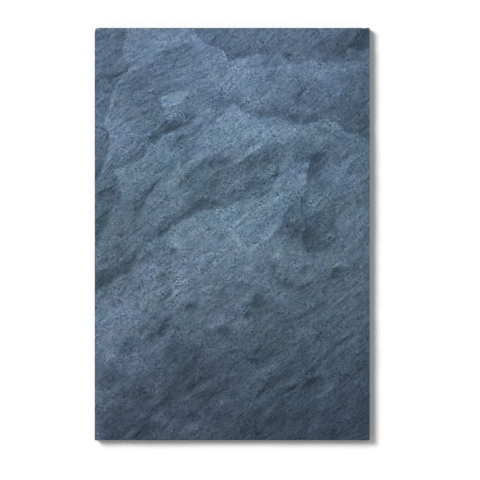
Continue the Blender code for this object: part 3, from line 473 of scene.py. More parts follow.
# By the area of the middle of each, and in each area from the top down.
STREAKS = [
    # upper left: x below 200, y from 400
    (-0.3, 5, 152, 594, 172, 592), (-0.2, 8, 180, 590, 200, 596), (-0.35, 6, 86, 588, 104, 592),
    (-0.3, 5, 176, 582, 194, 590), (0.2, 7, 104, 576, 160, 584), (-0.35, 4, 42, 576, 50, 580),
    (0.25, 7, 94, 572, 124, 580), (-0.25, 6, 35, 562, 38, 588), (-0.25, 4, 116, 566, 132, 576),
    (0.4, 5, -2, 568, 12, 565), (-0.2, 3, 104, 560, 111, 566), (0.4, 5, 188, 562, 194, 554),
    (-0.3, 4, 50, 550, 56, 560), (-0.35, 5, 102, 545, 112, 562), (0.3, 5, -2, 552, 10, 551),
    (0.2, 6, 60, 546, 92, 556), (-0.2, 4, 148, 546, 158, 550), (-0.35, 4, 18, 543, 38, 545),
    (-0.3, 4, 46, 541, 60, 546), (-0.3, 5, 178, 543, 194, 540), (0.25, 5, 164, 548, 172, 528),
    (-0.3, 3, 34, 533, 50, 540), (0.2, 5, 114, 530, 130, 536), (-0.2, 6, 176, 528, 192, 536),
    (-0.35, 3, 0, 529, 34, 533), (-0.2, 3, 50, 520, 100, 540), (-0.3, 4, 22, 524, 36, 532),
    (-0.3, 3, 46, 522, 76, 530), (-0.35, 3, 60, 520, 74, 528), (-0.3, 3, 62, 521, 76, 527),
    (-0.3, 6, 2, 522, 10, 508), (-0.25, 3, 45, 506, 82, 524), (-0.2, 3, 54, 508, 78, 517),
    (-0.35, 3, 60, 508, 82, 515), (-0.3, 3, 36, 507, 43, 513), (0.2, 3, 76, 505, 90, 510),
    (0.35, 4, 72, 500, 92, 510), (0.2, 4, 178, 500, 190, 508), (0.2, 3, 40, 494, 80, 512),
    (0.3, 4, 130, 490, 138, 496), (-0.25, 4, 82, 488, 92, 497), (0.2, 7, 102, 490, 118, 494),
    (-0.25, 3, 54, 481, 90, 498), (-0.3, 6, 176, 486, 196, 492), (0.3, 6, 62, 484, 80, 490),
    (0.25, 4, 94, 482, 104, 488), (0.4, 4, 96, 486, 106, 484), (0.2, 4, 108, 476, 122, 482),
    (-0.2, 3, 62, 470, 96, 486), (0.25, 3, 96, 472, 120, 484), (-0.25, 5, 138, 472, 150, 484),
    (0.2, 9, 166, 474, 190, 482), (0.3, 6, 150, 470, 172, 482), (-0.3, 3.5, 76, 468, 94, 480),
    (0.3, 6, 122, 470, 132, 478), (0.4, 4, 104, 466, 124, 480), (0.35, 6, 2, 466, 3, 478),
    (0.25, 4, 106, 469, 118, 475), (-0.4, 3, 130, 474, 136, 469), (-0.2, 5, 44, 466, 60, 476),
    (0.3, 4, 108, 466, 120, 474), (-0.4, 3.5, 116, 465, 124, 470), (0.2, 8, 0, 464, 14, 470),
    (0.4, 5, 14, 458, 20, 472), (0.3, 6, 128, 466, 144, 464), (-0.35, 3.5, 48, 461, 56, 468),
    (0.3, 5, 24, 460, 44, 461), (0.3, 3, 0, 459, 14, 458), (0.35, 3.5, 7, 460, 18, 457),
    (0.25, 3, 28, 456, 38, 461), (0.25, 4, 50, 456, 60, 461), (-0.25, 3, 120, 454, 142, 462),
    (-0.35, 4, 104, 453, 127, 460), (0.35, 5, 162, 450, 168, 458), (-0.45, 4, 106, 448, 120, 455),
    (0.25, 3.5, 22, 446, 22, 455), (0.3, 3, 15, 456, 21, 444), (-0.3, 3, 96, 446, 112, 451),
    (-0.5, 4, 111, 447, 118, 449), (0.35, 3.5, 44, 444, 50, 451), (0.35, 5, 72, 444, 92, 450),
    (-0.4, 6, 154, 444, 180, 450), (-0.3, 4, 66, 444, 80, 449), (0.2, 6, 50, 440, 76, 450),
    (0.3, 4, 92, 442, 100, 447), (0.35, 4, 98, 442, 130, 447), (0.2, 6, 44, 436, 52, 452),
    (-0.25, 5, 168, 442, 178, 444), (0.35, 4, 78, 442, 84, 443), (-0.35, 4, 80, 437, 91, 446),
    (-0.4, 4, 120, 435, 128, 445), (-0.35, 4, 123, 435, 130, 441), (0.35, 3, 23, 438, 27, 437),
    (-0.25, 4, 86, 434, 92, 439), (-0.35, 4, 66, 434, 76, 437), (-0.4, 5, 146, 432, 158, 438),
    (0.4, 5, 190, 432, 202, 438), (-0.3, 4, 103, 430, 110, 438), (-0.2, 8, 106, 420, 140, 444),
    (0.5, 3, 20, 429, 21, 434), (0.35, 5, 162, 428, 172, 432), (-0.3, 4, 188, 426, 192, 434),
    (0.25, 4, 62, 425, 74, 431), (-0.4, 4, 111, 425, 116, 431), (0.35, 3, 78, 424, 84, 430),
    (0.15, 4, 26, 402, 28, 450), (-0.45, 4, 112, 422, 120, 430), (-0.25, 8, 128, 414, 146, 438),
    (-0.4, 4, 24, 419, 26, 432), (0.45, 4, 42, 423, 52, 419), (-0.3, 4, 84, 416, 98, 424),
    (-0.4, 2, 17, 421, 18, 418), (-0.3, 3, 58, 412, 74, 426), (-0.35, 4, 54, 416, 60, 421),
    (-0.35, 5, 128, 416, 144, 420), (0.3, 6, 100, 412, 122, 420), (-0.2, 5, 2, 412, 12, 416),
    (0.25, 5, 144, 408, 164, 416), (-0.4, 5, 60, 402, 80, 418), (-0.2, 5, 12, 400, 12, 418),
    (0.35, 4, 14, 406, 24, 412), (0.4, 3.5, 21, 405, 27, 413), (-0.3, 5, 26, 402, 34, 416),
    (0.35, 4, 154, 406, 166, 412), (-0.4, 7, 168, 400, 184, 416), (-0.25, 6, 184, 402, 200, 408),
    (-0.45, 4, 184, 399, 198, 408), (-0.35, 6, 154, 396, 168, 406),
    # upper right: x from 200
    (0.25, 5, 376, 584, 392, 602), (-0.35, 5, 360, 586, 378, 598), (-0.25, 7, 346, 584, 366, 598),
    (-0.3, 5, 352, 576, 366, 586), (-0.4, 6, 389, 573, 402, 588), (0.3, 6, 370, 576, 392, 582),
    (-0.25, 5, 352, 560, 392, 596), (-0.25, 6, 326, 568, 344, 584), (-0.3, 6, 332, 564, 346, 580),
    (-0.3, 4, 340, 560, 364, 576), (0.4, 4, 368, 566, 380, 570), (-0.35, 5, 208, 558, 224, 566),
    (-0.3, 4, 204, 559, 218, 560), (0.3, 4, 388, 560, 402, 559), (-0.25, 6, 240, 556, 262, 556),
    (-0.3, 6, 266, 552, 292, 556), (-0.35, 4, 336, 554, 348, 554), (-0.25, 4, 386, 553, 400, 553),
    (-0.3, 4, 372, 546, 384, 550), (-0.45, 3.5, 250, 541, 255, 551), (-0.35, 4, 263, 543, 272, 549),
    (0.3, 3.5, 241, 548, 245, 541), (0.3, 6, 202, 540, 222, 548), (-0.5, 4, 234, 541, 244, 547),
    (0.25, 5, 352, 538, 368, 540), (0.4, 4, 354, 540, 366, 538), (-0.3, 3, 276, 532, 290, 545),
    (0.35, 4, 284, 534, 288, 542), (0.35, 5, 296, 530, 322, 544), (0.2, 5, 244, 534, 262, 538),
    (-0.35, 5, 342, 540, 348, 530), (-0.35, 3.5, 288, 528, 294, 536), (0.3, 5, 322, 528, 338, 536),
    (-0.25, 4, 252, 530, 262, 530), (-0.35, 7, 386, 534, 402, 526), (-0.35, 5, 252, 530, 262, 526),
    (0.4, 3.5, 320, 530, 328, 526), (0.15, 14, 210, 510, 226, 545), (-0.3, 6, 358, 523, 376, 530),
    (-0.3, 4, 288, 522, 296, 530), (0.35, 4, 248, 530, 254, 520), (-0.45, 6, 360, 522, 376, 528),
    (0.35, 5, 370, 514, 382, 528), (-0.4, 4, 312, 516, 324, 524), (0.3, 5, 264, 508, 280, 520),
    (0.4, 4, 346, 508, 360, 503), (0.35, 4, 304, 503, 314, 507), (-0.3, 4, 244, 500, 250, 508),
    (0.35, 3.5, 352, 501, 359, 507), (-0.35, 3.5, 342, 502, 350, 504), (0.4, 3.5, 354, 501, 362, 505),
    (0.4, 3.5, 254, 504, 262, 501), (-0.25, 4, 290, 500, 302, 504), (-0.4, 4, 358, 496, 370, 501),
    (0.35, 6, 372, 500, 386, 490), (0.3, 4, 216, 492, 232, 496), (-0.45, 7, 208, 497, 216, 485),
    (0.3, 6, 332, 488, 348, 494), (-0.5, 3.5, 297, 484, 299, 495), (-0.35, 6, 260, 486, 280, 492),
    (0.35, 5, 278, 496, 286, 482), (-0.2, 8, 358, 480, 378, 496), (-0.35, 5, 386, 484, 396, 492),
    (-0.35, 5, 304, 485, 318, 485), (0.35, 5, 298, 482, 316, 478), (0.3, 5, 302, 480, 312, 476),
    (-0.3, 4, 242, 476, 280, 476), (0.35, 7, 200, 474, 214, 474), (-0.3, 5, 318, 476, 334, 470),
    (-0.35, 6, 354, 466, 376, 480), (0.5, 3, 328, 472, 340, 470), (-0.35, 5, 244, 476, 248, 462),
    (0.3, 3, 276, 474, 290, 462), (0.6, 3, 348, 469, 357, 467), (-0.3, 4, 306, 464, 320, 470),
    (0.3, 3, 328, 460, 346, 472), (-0.35, 3, 283, 470, 299, 460), (-0.3, 5, 386, 462, 396, 468),
    (-0.6, 3, 324, 465, 358, 462), (-0.2, 10, 256, 466, 282, 460), (-0.3, 3, 306, 462, 314, 464),
    (-0.3, 4, 310, 458, 318, 466), (0.25, 6, 320, 458, 330, 454), (0.4, 5, 348, 460, 360, 452),
    (-0.3, 5, 214, 452, 234, 455), (0.4, 4, 234, 450, 246, 455), (0.35, 4, 238, 446, 241, 454),
    (-0.25, 6, 388, 448, 400, 452), (0.3, 5, 310, 458, 304, 440), (-0.2, 7, 312, 452, 334, 446),
    (-0.35, 3.5, 328, 449, 336, 449), (0.25, 7, 216, 442, 240, 451), (-0.3, 4, 366, 443, 376, 449),
    (0.45, 3, 378, 443, 382, 449), (0.2, 5, 246, 442, 262, 448), (0.3, 7, 250, 440, 262, 450),
    (0.3, 10, 270, 438, 300, 448), (0.25, 4, 298, 440, 308, 446), (0.3, 4, 362, 446, 376, 440),
    (0.25, 4, 362, 440, 374, 444), (-0.3, 5, 382, 444, 400, 440), (-0.35, 5, 290, 438, 302, 442),
    (-0.45, 5, 358, 436, 366, 442), (0.35, 4, 212, 434, 232, 443), (0.4, 4, 328, 440, 336, 436),
    (0.3, 5, 274, 430, 286, 440), (-0.3, 6, 260, 426, 274, 438), (-0.3, 4, 222, 428, 232, 434),
    (-0.3, 5, 300, 424, 306, 436), (-0.35, 4, 336, 424, 347, 431), (0.25, 5, 204, 414, 244, 430),
    (0.25, 4, 230, 418, 246, 426), (-0.3, 5, 262, 418, 274, 426), (0.3, 5, 226, 418, 246, 425),
    (0.45, 5, 294, 412, 308, 421), (0.3, 5, 386, 406, 400, 416), (-0.3, 4, 294, 406, 308, 411),
    (0.45, 4, 200, 403, 220, 413), (-0.35, 7, 246, 404, 268, 412), (-0.3, 5, 340, 406, 364, 410),
    (-0.35, 3, 292, 408, 304, 406), (0.35, 4, 200, 401, 222, 412), (-0.3, 6, 230, 402, 250, 408),
    (-0.4, 4, 301, 401, 305, 407), (0.4, 3.5, 311, 402, 314, 405), (0.5, 4, 306, 404, 316, 402),
    # middle left: x below 200, y from 200 to 400
    (0.3, 4, 22, 391, 24, 402), (-0.3, 4, 80, 390, 84, 402), (-0.4, 4, 22, 394, 38, 396),
    (-0.35, 4, 96, 388, 104, 400), (0.35, 4, 122, 400, 132, 384), (-0.35, 5, 140, 387, 160, 396),
    (0.3, 5, 48, 380, 66, 396), (0.35, 3.5, 8, 379, 17, 391), (-0.35, 3.5, 16, 384, 22, 386),
    (-0.5, 4, 0, 380, 6, 388), (0.3, 9, 150, 376, 166, 388), (-0.25, 7, 0, 373, 18, 384),
    (-0.25, 6, 122, 371, 150, 384), (-0.3, 7, 172, 360, 180, 392), (-0.3, 5, 8, 366, 14, 384),
    (-0.2, 8, 46, 366, 58, 384), (-0.25, 3, 82, 362, 96, 382), (0.3, 3, 76, 364, 88, 378),
    (0.3, 8, 98, 366, 118, 374), (-0.3, 5, 128, 376, 132, 362), (-0.3, 3, 80, 358, 92, 372),
    (-0.2, 7, 150, 360, 190, 362), (0.3, 6, 122, 356, 142, 352), (-0.3, 3, 70, 344, 80, 360),
    (0.45, 4, 148, 350, 162, 353), (-0.35, 5, 190, 348, 200, 353), (-0.4, 7, 24, 350, 38, 350),
    (-0.2, 3, 100, 346, 122, 352), (0.3, 7, 122, 338, 130, 358), (-0.45, 4, 33, 340, 40, 355),
    (-0.3, 5, 138, 342, 162, 349), (0.3, 3, 62, 338, 72, 352), (-0.35, 6, 0, 340, 10, 348),
    (-0.35, 5, 124, 332, 144, 352), (-0.35, 4, 172, 334, 182, 344), (-0.3, 7, 48, 338, 66, 334),
    (-0.35, 5, 150, 338, 164, 333), (0.35, 4, 114, 330, 126, 340), (-0.3, 5, 0, 330, 12, 330),
    (0.4, 4, 98, 324, 106, 326), (-0.2, 4, 100, 317, 112, 328), (-0.3, 4, 100, 318, 116, 326),
    (-0.35, 6, 8, 306, 23, 328), (0.4, 3.5, 44, 315, 50, 318), (-0.25, 6, 8, 318, 20, 314),
    (0.35, 4, 88, 308, 98, 322), (0.3, 4, 102, 309, 112, 317), (0.35, 4, -2, 306, 6, 318),
    (-0.3, 5, 95, 304, 106, 314), (0.35, 4, 0, 309, 4, 307), (0.3, 3, 46, 304, 48, 310),
    (-0.25, 5, 44, 298, 58, 312), (-0.35, 4, 36, 310, 40, 298), (-0.5, 4, 0, 298, 5, 306),
    (-0.25, 7, 164, 306, 190, 298), (-0.3, 4, 36, 296, 54, 306), (-0.45, 5, 96, 301, 108, 298),
    (0.4, 3, 30, 301, 36, 297), (-0.3, 6, 176, 298, 200, 296), (0.3, 4, 110, 290, 118, 298),
    (0.4, 5, 113, 294, 121, 293), (-0.4, 6, 0, 282, 6, 296), (0.3, 7, 18, 290, 28, 283),
    (-0.5, 4, 0, 284, 4, 283), (-0.3, 5, 142, 276, 156, 288), (-0.3, 4, 26, 274, 37, 286),
    (0.35, 4, 122, 284, 130, 274), (-0.25, 7, 34, 268, 48, 288), (0.35, 4, 54, 272, 58, 280),
    (0.4, 6, 0, 276, 14, 274), (-0.3, 5, 82, 268, 100, 280), (-0.35, 4, 17, 268, 20, 278),
    (-0.4, 4, 38, 266, 50, 280), (0.35, 4, 20, 268, 34, 274), (-0.35, 5, 66, 262, 82, 272),
    (-0.25, 5, 163, 262, 174, 272), (0.6, 3.5, 62, 264, 70, 268), (-0.5, 2.5, 34, 262, 40, 266),
    (-0.4, 3.5, 76, 266, 84, 262), (-0.25, 5, 62, 256, 80, 269), (-0.2, 4, 8, 259, 34, 264),
    (-0.35, 5, 18, 259, 28, 262), (0.3, 5, 118, 256, 134, 262), (-0.4, 5, 60, 256, 74, 260),
    (0.25, 4, 0, 247, 16, 254), (-0.2, 4, 132, 247, 152, 250), (-0.3, 6, 36, 244, 54, 252),
    (0.4, 4, -2, 243, 20, 252), (0.25, 7, 58, 246, 72, 248), (0.3, 5, 82, 242, 88, 252),
    (-0.4, 4, 45, 244, 52, 247), (-0.25, 8, 8, 238, 24, 242), (0.35, 3, 88, 237, 92, 242),
    (-0.4, 4, 94, 234, 106, 243), (0.3, 8, 114, 228, 134, 236), (-0.4, 7, 0, 228, 18, 232),
    (-0.3, 5, 104, 232, 118, 228), (0.45, 5, 122, 230, 138, 225), (-0.3, 5, 138, 224, 154, 230),
    (-0.45, 4, 8, 222, 16, 227), (-0.35, 4, 63, 219, 69, 226), (-0.3, 4, 189, 219, 196, 226),
    (0.2, 6, 78, 218, 90, 226), (-0.5, 3, 65, 219, 69, 224), (0.3, 5, 152, 214, 172, 222),
    (-0.6, 4, 0, 216, 8, 218), (-0.35, 4, 38, 208, 46, 220), (0.4, 4, 92, 216, 102, 212),
    (0.45, 4, 115, 211, 124, 217), (-0.4, 4, 98, 207, 112, 216), (-0.4, 3.5, 104, 208, 112, 215),
    (-0.35, 5, 182, 207, 192, 213), (0.4, 5, -2, 206, 12, 212), (-0.45, 5, 8, 206, 22, 212),
    (0.25, 5, 124, 204, 134, 214), (-0.3, 5, 174, 207, 196, 210), (0.45, 5, 74, 200, 78, 210),
    (0.4, 5, 124, 200, 134, 208), (0.5, 4, 103, 202, 114, 204), (-0.4, 3.5, 95, 201, 101, 204),
    (0.4, 4, 14, 200, 24, 202),
    # middle right
    (-0.4, 5, 330, 395, 338, 402), (0.6, 3, 309, 395, 311, 398), (0.35, 4, 272, 392, 282, 400),
    (-0.35, 5, 284, 392, 296, 396), (-0.5, 4, 302, 390, 314, 394), (-0.6, 3, 308, 388, 309, 393),
    (-0.35, 4, 262, 384, 268, 396), (0.2, 5, 364, 384, 372, 396), (-0.25, 8, 204, 384, 228, 394),
    (0.2, 6, 240, 384, 260, 392), (0.4, 4, 352, 378, 362, 398), (-0.3, 5, 262, 380, 276, 394),
    (0.4, 5, 331, 380, 338, 388), (0.4, 4, 372, 378, 382, 386), (0.4, 5, 300, 374, 308, 386),
    (-0.4, 3, 324, 377, 326, 383), (-0.25, 6, 322, 366, 336, 392), (-0.25, 8, 226, 366, 246, 388),
    (0.25, 8, 200, 368, 222, 382), (0.3, 3, 307, 372, 309, 378), (-0.2, 6, 264, 364, 284, 378),
    (0.35, 5, 202, 376, 216, 364), (-0.3, 5, 240, 368, 252, 372), (0.3, 3, 324, 368, 327, 372),
    (0.35, 4, 286, 369, 297, 369), (-0.35, 6, 326, 362, 338, 374), (0.25, 4, 248, 364, 262, 371),
    (-0.2, 7, 326, 358, 340, 376), (-0.4, 2.5, 302, 363, 307, 369), (-0.3, 5, 333, 362, 336, 367),
    (0.4, 4, 374, 360, 386, 363), (-0.35, 5, 264, 360, 284, 362), (0.6, 3, 302, 356, 309, 364),
    (-0.3, 4, 302, 344, 312, 372), (-0.35, 4, 238, 354, 256, 358), (-0.3, 6, 244, 352, 258, 358),
    (-0.4, 3.5, 327, 355, 333, 355), (0.25, 3, 260, 352, 272, 356), (-0.3, 4, 304, 344, 312, 362),
    (0.35, 4, 262, 350, 276, 355), (0.45, 3.5, 282, 354, 288, 348), (-0.25, 6, 284, 344, 296, 354),
    (-0.3, 5, 284, 354, 292, 344), (0.25, 8, 312, 346, 340, 352), (-0.35, 5, 210, 348, 240, 345),
    (-0.3, 6, 350, 342, 366, 350), (0.4, 3.5, 322, 340, 328, 349), (0.3, 5, 254, 342, 266, 346),
    (-0.3, 5, 384, 342, 400, 346), (-0.35, 3, 326, 337, 332, 343), (0.45, 3, 313, 339, 321, 334),
    (0.35, 7, 334, 332, 354, 338), (-0.2, 6, 352, 318, 358, 348), (-0.3, 4, 255, 328, 262, 337),
    (0.3, 5, 382, 324, 394, 332), (-0.5, 3, 297, 329, 304, 324), (0.2, 9, 366, 316, 384, 332),
    (0.4, 4, 288, 316, 298, 330), (-0.3, 3, 304, 314, 304, 332), (-0.35, 4, 254, 322, 262, 320),
    (-0.35, 4, 306, 316, 313, 316), (-0.35, 4, 280, 314, 296, 306), (0.35, 4, 262, 304, 274, 312),
    (-0.4, 7, 286, 302, 300, 314), (-0.35, 4, 322, 305, 327, 311), (0.35, 5, 326, 302, 338, 314),
    (0.3, 4, 330, 303, 340, 308), (-0.3, 5, 262, 300, 276, 308), (0.35, 5, 252, 296, 262, 306),
    (0.35, 4, 300, 296, 308, 306), (-0.4, 3, 264, 302, 273, 298), (-0.4, 7, 302, 294, 318, 304),
    (-0.45, 3, 296, 296, 298, 301), (0.45, 3, 341, 295, 347, 300), (0.5, 5, 282, 293, 291, 300),
    (0.45, 3.5, 301, 295, 307, 297), (-0.5, 4, 308, 292, 318, 298), (-0.35, 5, 284, 290, 298, 299),
    (-0.4, 5, 288, 298, 296, 288), (-0.25, 8, 340, 286, 366, 294), (-0.3, 7, 388, 282, 400, 294),
    (0.2, 8, 254, 266, 274, 282), (-0.3, 4, 318, 270, 328, 276), (-0.4, 3, 320, 272, 330, 274),
    (0.35, 5, 262, 266, 274, 274), (-0.25, 4, 344, 268, 362, 271), (0.2, 7, 384, 262, 398, 272),
    (0.35, 4, 266, 258, 278, 264), (0.35, 4, 348, 253, 368, 260), (0.4, 4, 354, 252, 366, 256),
    (-0.4, 3, 260, 262, 263, 242), (-0.2, 6, 384, 246, 400, 254), (0.25, 10, 216, 240, 236, 256),
    (0.35, 5, 218, 250, 232, 244), (-0.35, 2.5, 233, 241, 235, 250), (-0.35, 4, 260, 252, 264, 238),
    (-0.4, 4, 305, 240, 307, 250), (-0.4, 6, 346, 236, 358, 250), (0.35, 3, 248, 241, 254, 244),
    (-0.35, 5, 276, 238, 294, 243), (0.35, 4, 198, 237, 208, 233), (-0.3, 4, 334, 232, 346, 238),
    (-0.4, 4, 344, 236, 360, 234), (0.3, 5, 308, 232, 322, 236), (0.25, 6, 376, 226, 398, 242),
    (0.35, 4, 210, 234, 222, 228), (-0.35, 6, 272, 232, 288, 230), (0.35, 5, 258, 226, 272, 230),
    (-0.3, 5, 300, 224, 312, 230), (-0.35, 4, 200, 228, 208, 224), (-0.3, 5, 268, 222, 280, 230),
    (-0.25, 5, 208, 224, 230, 224), (-0.3, 5, 212, 224, 232, 220), (0.25, 4, 330, 212, 334, 224),
    (0.2, 10, 262, 206, 286, 222), (-0.35, 6, 322, 206, 334, 220), (-0.2, 5, 368, 208, 396, 216),
    (0.4, 4, 272, 208, 280, 214), (-0.35, 4, 382, 208, 398, 213), (0.3, 4, 266, 202, 274, 205),
    (0.5, 4, 215, 201, 224, 205),
    # lower left: x below 200, y below 200
    (-0.35, 7, 26, 194, 38, 200), (-0.3, 4, 102, 193, 112, 195), (-0.2, 9, 138, 198, 150, 190),
    (-0.5, 4, 133, 191, 143, 196), (-0.3, 4, 78, 188, 80, 198), (-0.5, 4, 138, 189, 146, 194),
    (-0.4, 5, 4, 190, 16, 188), (-0.3, 5, 160, 182, 178, 194), (0.3, 6, 30, 182, 46, 192),
    (-0.25, 4, 164, 182, 174, 192), (-0.45, 4, 194, 181, 196, 190), (0.35, 5, 98, 180, 104, 186),
    (0.3, 6, 48, 177, 66, 183), (-0.25, 5, 72, 174, 92, 180), (0.25, 6, 134, 166, 146, 180),
    (0.25, 5, 184, 168, 196, 178), (0.25, 5, 100, 166, 116, 174), (0.2, 9, 194, 174, 204, 164),
    (0.35, 5, 164, 160, 194, 177), (-0.4, 6, 95, 156, 109, 175), (-0.3, 4, 66, 160, 76, 168),
    (-0.3, 4, 66, 160, 78, 166), (-0.25, 6, 58, 150, 76, 166), (-0.5, 3.5, 144, 157, 156, 159),
    (-0.3, 5, 114, 154, 128, 160), (-0.35, 5, 76, 150, 95, 160), (0.55, 3.5, 112, 152, 115, 157),
    (-0.5, 3.5, 137, 151, 144, 157), (0.3, 4, 140, 150, 156, 158), (-0.4, 5, 186, 150, 197, 157),
    (0.55, 4, 74, 147, 83, 159), (0.25, 4, 108, 149, 116, 157), (0.35, 4, 144, 149, 156, 156),
    (-0.45, 4, 163, 150, 168, 154), (-0.3, 4, 72, 142, 88, 156), (-0.4, 3.5, 78, 144, 91, 154),
    (0.3, 5, 20, 145, 36, 151), (-0.4, 4, 46, 140, 56, 148), (-0.5, 4, 40, 132, 56, 146),
    (-0.35, 4, 26, 136, 38, 138), (-0.2, 8, 102, 126, 122, 144), (0.4, 5, 188, 130, 198, 140),
    (-0.35, 3, 52, 130, 62, 138), (0.45, 5, 86, 130, 92, 136), (-0.25, 12, 110, 124, 140, 142),
    (-0.3, 5, 112, 126, 124, 136), (0.3, 7, 0, 126, 16, 134), (-0.45, 4, 116, 128, 124, 132),
    (0.5, 4, 166, 127, 174, 130), (-0.25, 4, 30, 124, 48, 130), (-0.25, 6, 146, 118, 156, 134),
    (-0.3, 5, 150, 116, 160, 136), (-0.55, 5, 8, 125, 15, 126), (-0.35, 4, 36, 126, 54, 123),
    (0.45, 8, 17, 116, 32, 132), (-0.35, 5, 78, 116, 90, 128), (0.35, 5, 18, 118, 30, 122),
    (-0.25, 7, 186, 118, 200, 122), (0.3, 9, 170, 110, 190, 128), (0.4, 9, 0, 110, 14, 124),
    (-0.25, 5, 112, 118, 126, 108), (-0.3, 4, 24, 104, 34, 114), (0.35, 6, 50, 100, 60, 112),
    (0.5, 5, 33, 104, 38, 107), (0.25, 4, 30, 100, 42, 110), (0.5, 5, 0, 101, 3, 104),
    (-0.25, 5, 86, 90, 93, 106), (-0.3, 8, 118, 88, 140, 108), (-0.35, 4, 92, 88, 95, 102),
    (0.3, 6, 0, 90, 14, 98), (-0.3, 5, 28, 100, 44, 88), (-0.3, 4, 62, 88, 68, 100),
    (0.25, 4, 148, 90, 158, 98), (-0.25, 8, 160, 88, 196, 98), (0.25, 8, 88, 80, 104, 100),
    (-0.45, 4, 160, 86, 172, 91), (-0.4, 6, 6, 84, 28, 92), (0.5, 3.5, 96, 82, 103, 89),
    (0.3, 5, 158, 76, 176, 84), (0.3, 5, 32, 74, 46, 80), (-0.4, 5, 8, 76, 24, 75),
    (-0.3, 5, 128, 68, 148, 78), (-0.5, 4, 134, 67, 148, 78), (0.3, 5, 124, 62, 160, 82),
    (0.25, 9, 2, 64, 34, 78), (0.3, 5, 84, 62, 96, 80), (-0.35, 7, 58, 62, 76, 78),
    (0.3, 4, 138, 62, 158, 74), (-0.3, 7, 110, 60, 126, 74), (-0.35, 5, 30, 60, 40, 70),
    (-0.45, 4, 172, 62, 180, 68), (-0.4, 4, 56, 60, 74, 68), (-0.3, 5, 164, 56, 172, 72),
    (-0.45, 3, 44, 63, 49, 64), (-0.4, 4, 78, 60, 88, 64), (0.25, 4, 122, 54, 142, 66),
    (-0.45, 4, 76, 57, 86, 62), (0.3, 3, 186, 54, 194, 62), (0.45, 5, 36, 60, 54, 54),
    (0.25, 4, 182, 52, 190, 62), (0.45, 4, 187, 54, 193, 58), (0.45, 4, 22, 54, 27, 56),
    (0.45, 3.5, 82, 51, 97, 55), (0.25, 6, 72, 48, 92, 55), (-0.3, 5, 36, 47, 48, 54),
    (0.45, 4, 50, 51, 57, 49), (-0.3, 5, 92, 48, 106, 52), (-0.3, 6, 20, 34, 48, 58),
    (-0.25, 7, 74, 42, 100, 50), (0.3, 5, 132, 40, 144, 50), (0.5, 4, 178, 40, 181, 48),
    (-0.3, 5, 44, 40, 60, 46), (-0.3, 5, 162, 38, 174, 48), (-0.4, 8, 180, 34, 200, 44),
    (-0.3, 4, 130, 34, 152, 40), (-0.5, 5, 80, 32, 91, 41), (0.25, 6, 20, 28, 32, 42),
    (0.35, 6, 84, 30, 102, 38), (-0.4, 4, 140, 37, 150, 31), (-0.4, 5, 140, 34, 154, 32),
    (-0.3, 6, 180, 32, 196, 34), (0.3, 5, 20, 36, 32, 28), (0.3, 7, 86, 36, 108, 26),
    (0.2, 5, 156, 26, 178, 32), (0.5, 4, 100, 23, 106, 28), (-0.3, 8, 20, 20, 38, 30),
    (0.25, 7, 136, 16, 156, 24), (-0.25, 5, 88, 20, 104, 18), (0.3, 5, 138, 15, 156, 22),
    (-0.4, 8, 56, 8, 84, 26), (0.5, 7, -2, 14, 12, 19), (0.5, 4, 141, 14, 153, 19),
    (-0.45, 4, 46, 8, 54, 20), (0.25, 6, 104, 8, 122, 20), (0.3, 4, 110, 8, 116, 20),
    (-0.3, 5, 14, 6, 30, 20), (0.35, 5, 48, 8, 64, 14), (-0.25, 7, 54, 6, 76, 16),
    (0.55, 4, 50, 5, 66, 15), (0.4, 6, -2, 4, 14, 12), (-0.4, 7, 62, 8, 80, 5),
    (-0.35, 6, 20, 8, 40, 4), (0.45, 6, 4, 1, 18, 4),
    # lower right
    (-0.35, 5, 240, 198, 262, 201), (-0.35, 3, 222, 193, 229, 200), (-0.4, 6, 230, 194, 250, 195),
    (0.3, 5, 274, 190, 286, 198), (0.45, 4, 208, 200, 217, 186), (-0.45, 5, 322, 190, 337, 195),
    (-0.3, 5, 238, 186, 258, 193), (-0.45, 4, 309, 184, 320, 192), (-0.3, 3, 262, 182, 278, 188),
    (-0.35, 4, 238, 186, 272, 183), (-0.35, 4, 219, 180, 226, 188), (-0.2, 8, 330, 188, 356, 178),
    (-0.4, 4, 219, 179, 231, 184), (-0.3, 4, 219, 178, 229, 183), (-0.45, 4, 299, 177, 309, 182),
    (-0.25, 5, 344, 174, 358, 180), (0.3, 4, 262, 166, 282, 184), (-0.45, 3, 233, 172, 238, 175),
    (-0.4, 4, 278, 168, 296, 176), (-0.2, 5, 278, 167, 300, 177), (0.5, 4, 219, 169, 230, 174),
    (-0.45, 4, 333, 167, 339, 172), (0.35, 5, 256, 162, 276, 170), (0.2, 5, 298, 154, 312, 162),
    (0.25, 5, 214, 153, 232, 159), (-0.3, 6, 262, 160, 272, 152), (0.4, 5, 300, 158, 318, 154),
    (-0.3, 5, 281, 164, 283, 144), (-0.3, 4, 326, 150, 332, 158), (-0.5, 4, 328, 151, 335, 156),
    (0.3, 4, 354, 146, 372, 155), (0.25, 6, 220, 132, 238, 140), (-0.25, 5, 232, 126, 250, 144),
    (0.4, 5, 230, 130, 238, 139), (0.3, 5, 352, 126, 370, 138), (-0.25, 6, 228, 124, 246, 138),
    (-0.25, 4, 264, 122, 280, 136), (-0.45, 4, 236, 124, 243, 131), (-0.45, 3.5, 383, 120, 391, 124),
    (-0.55, 5, 240, 114, 264, 128), (-0.25, 5, 284, 117, 302, 122), (-0.4, 3, 246, 114, 262, 124),
    (-0.55, 5, 222, 118, 240, 114), (0.3, 7, 322, 98, 342, 132), (0.25, 6, 360, 104, 380, 124),
    (-0.45, 4, 306, 107, 315, 110), (0.35, 6, 360, 94, 376, 122), (0.25, 4, 304, 102, 316, 112),
    (0.25, 5, 214, 100, 224, 112), (-0.25, 5, 376, 98, 392, 112), (0.3, 9, 250, 92, 272, 116),
